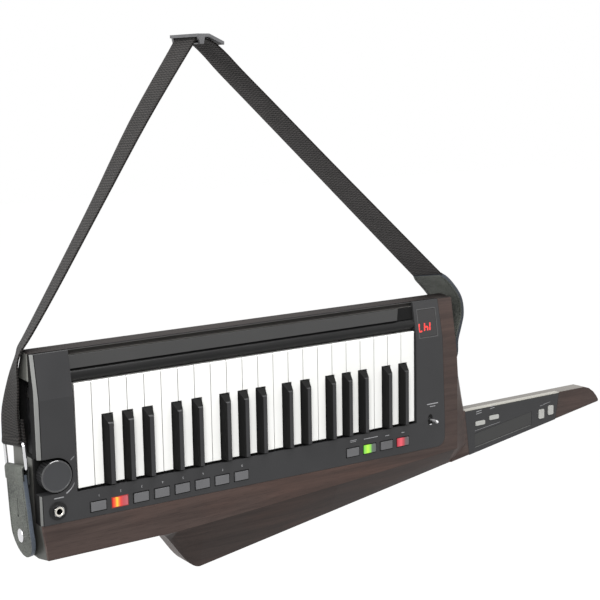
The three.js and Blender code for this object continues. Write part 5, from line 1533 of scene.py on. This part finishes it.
def makeRightLeather(look, strap):
    made = smoothRoute([(x, strap["middle"], z, twist) for x, z, twist in look["rightRoute"]], 5)
    centres = [Vector(spot[:3]) for spot in made]
    wides = frameOf(centres, [spot[3] for spot in made], [0.0] * len(centres))

    def widthAt(far, total):
        corner = min(1.0, look["shoulder"] + far / look["shoulderLong"])
        return look["rightWide"] * corner * tipShare(far, total, look["rightTip"])

    piece = bandPiece("strap_end_right_made", centres, wides, widthAt, look["rightThick"],
                      ["leather", "leatherRim", "leatherInner"], 10)
    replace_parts(piece, "strap_end_right")
    lift = look["rightThick"] / 2 + look["stitchLift"]
    stitches("strap_stitches_right", centres, wides, widthAt, look, lift, *look["rightStitched"])


makeLeftLeather(leatherLook, strapLook)
makeRightLeather(leatherLook, strapLook)


def makeRing(look):
    # Round wire along a rectangle with rounded corners
    corner = look["corner"]
    rear, front = look["rear"] - corner, look["front"] + corner
    top, foot = look["top"] - corner, look["foot"] + corner
    spots = []
    for y, z, start in ((rear, top, 0), (front, top, 90), (front, foot, 180), (rear, foot, 270)):
        for step in range(0, 91, 18):
            angle = math.radians(start + step)
            spots.append(leaned((look["x"], y + corner * math.cos(angle), z + corner * math.sin(angle))))
    curve = bpy.data.curves.new("ring", "CURVE")
    curve.dimensions = "3D"
    curve.bevel_depth = look["wire"] / 1000
    curve.bevel_resolution = 5
    line = curve.splines.new("POLY")
    line.points.add(len(spots) - 1)
    line.use_cyclic_u = True
    for point, spot in zip(line.points, spots):
        point.co = (*at(*spot), 1)
    mesh = bakedMesh(curve)
    bm = bmesh.new()
    bm.from_mesh(mesh)
    bpy.data.meshes.remove(mesh)
    swapNode("strap_ring", bm, "chrome", sharp=60)


makeRing(ringLook)
refined("strap_slider", "enamel", size=0.6, segments=3)


# Strap pins: flange, waisted neck and domed head, as radius and distance from the wall
pinLook = {
    "profile": [(7.5, 0.3), (7.5, 1.6), (7.0, 2.0), (4.2, 2.3), (3.2, 3.6), (3.2, 8.6), (4.2, 9.3),
                (7.0, 9.6), (7.3, 9.9), (7.3, 10.9), (6.6, 11.5), (4.2, 12.0), (0, 12.2)],
    "sides": 36,
    # wall, depth, height and direction
    "places": {
        "strap_pin_left": (-43.0, 29.5, strapLook["pinZ"], -1),
        "strap_pin_right": (523.4, 33.0, -34.0, 1),
    },
}


def makePins(look):
    for name, (wall, back, z, outward) in look["places"].items():
        bm = bmesh.new()
        profile = [(radius, far * outward) for radius, far in look["profile"]]
        turned(bm, profile, wall, back, z, "x", look["sides"])
        swapNode(name, bm, "chrome", sharp=40)


makePins(pinLook)
print("strap made")

# Stage: a pale floor that keeps the shadow, and a white room
stageLook = {
    "floorDrop": 0.45, "floorSize": 9.0, "floorTone": (0.62, 0.62, 0.62, 1), "seen": 0.93,
    "white": 1.06, "fill": 0.38,
}
plainWhite = (1, 1, 1, 1)


def eitherRay(tree):
    # 1 for what the camera sees, directly or by reflection or through glass
    path = tree.nodes.new("ShaderNodeLightPath")
    glossy = sums(tree, "MAXIMUM", path.outputs["Is Glossy Ray"], path.outputs["Is Transmission Ray"])
    return sums(tree, "MAXIMUM", path.outputs["Is Camera Ray"], glossy)


def mixShaders(tree, share, first, second, output):
    mix = tree.nodes.new("ShaderNodeMixShader")
    tree.links.new(share, mix.inputs["Fac"])
    tree.links.new(first.outputs[0], mix.inputs[1])
    tree.links.new(second.outputs[0], mix.inputs[2])
    tree.links.new(mix.outputs[0], tree.nodes[output].inputs["Surface"])


def makeStage(look):
    bm = bmesh.new()
    bmesh.ops.create_grid(bm, x_segments=1, y_segments=1, size=look["floorSize"])
    bmesh.ops.translate(bm, vec=(0, 0, cadLow.z - look["floorDrop"]), verts=bm.verts)
    floor = newObject("floor", bm, [])
    finish, tree, shader = newFinish("paleFloor", roughness=0.9)
    shader.inputs["Base Color"].default_value = look["floorTone"]
    glow = addNode(tree, "ShaderNodeEmission", Strength=look["white"])
    glow.inputs["Color"].default_value = plainWhite
    seen = sums(tree, "MULTIPLY", eitherRay(tree), look["seen"])
    mixShaders(tree, seen, shader, glow, "Material Output")
    floor.data.materials.append(finish)


def makeWorld(look):
    world = bpy.data.worlds.new("studio")
    scene.world = world
    world.use_nodes = True
    tree = world.node_tree
    back = tree.nodes["Background"]
    back.inputs["Color"].default_value = plainWhite
    back.inputs["Strength"].default_value = look["fill"]
    white = addNode(tree, "ShaderNodeBackground", Strength=1.0)
    white.inputs["Color"].default_value = plainWhite
    mixShaders(tree, eitherRay(tree), back, white, "World Output")


lampSetup = {
    "keyLamp": dict(place=(-1.3, -1.7, 0.9), aim=(0.1, 0, -0.4), size=(1.0, 1.0), watts=42),
    "topLamp": dict(place=(0.2, -0.2, 1.4), aim=(0.1, 0, -0.4), size=(1.6, 0.9), watts=60),
    "sideLamp": dict(place=(1.8, -1.4, 0.2), aim=(0.1, 0, -0.4), size=(1.0, 1.2), watts=6),
    "leftLamp": dict(place=(-1.9, 0.3, 0.1), aim=(0.0, 0, -0.4), size=(0.9, 0.9), watts=28),
}


def makeLamps(setup):
    for name, lamp in setup.items():
        data = bpy.data.lights.new(name, "AREA")
        data.shape = "RECTANGLE"
        data.size, data.size_y = lamp["size"]
        data.energy = lamp["watts"]
        holder = bpy.data.objects.new(name, data)
        scene.collection.objects.link(holder)
        holder.location = lamp["place"]
        aim = Vector(lamp["aim"]) - Vector(lamp["place"])
        holder.rotation_euler = aim.to_track_quat("-Z", "Y").to_euler()


makeStage(stageLook)
makeWorld(stageLook)
makeLamps(lampSetup)
print("stage lit")
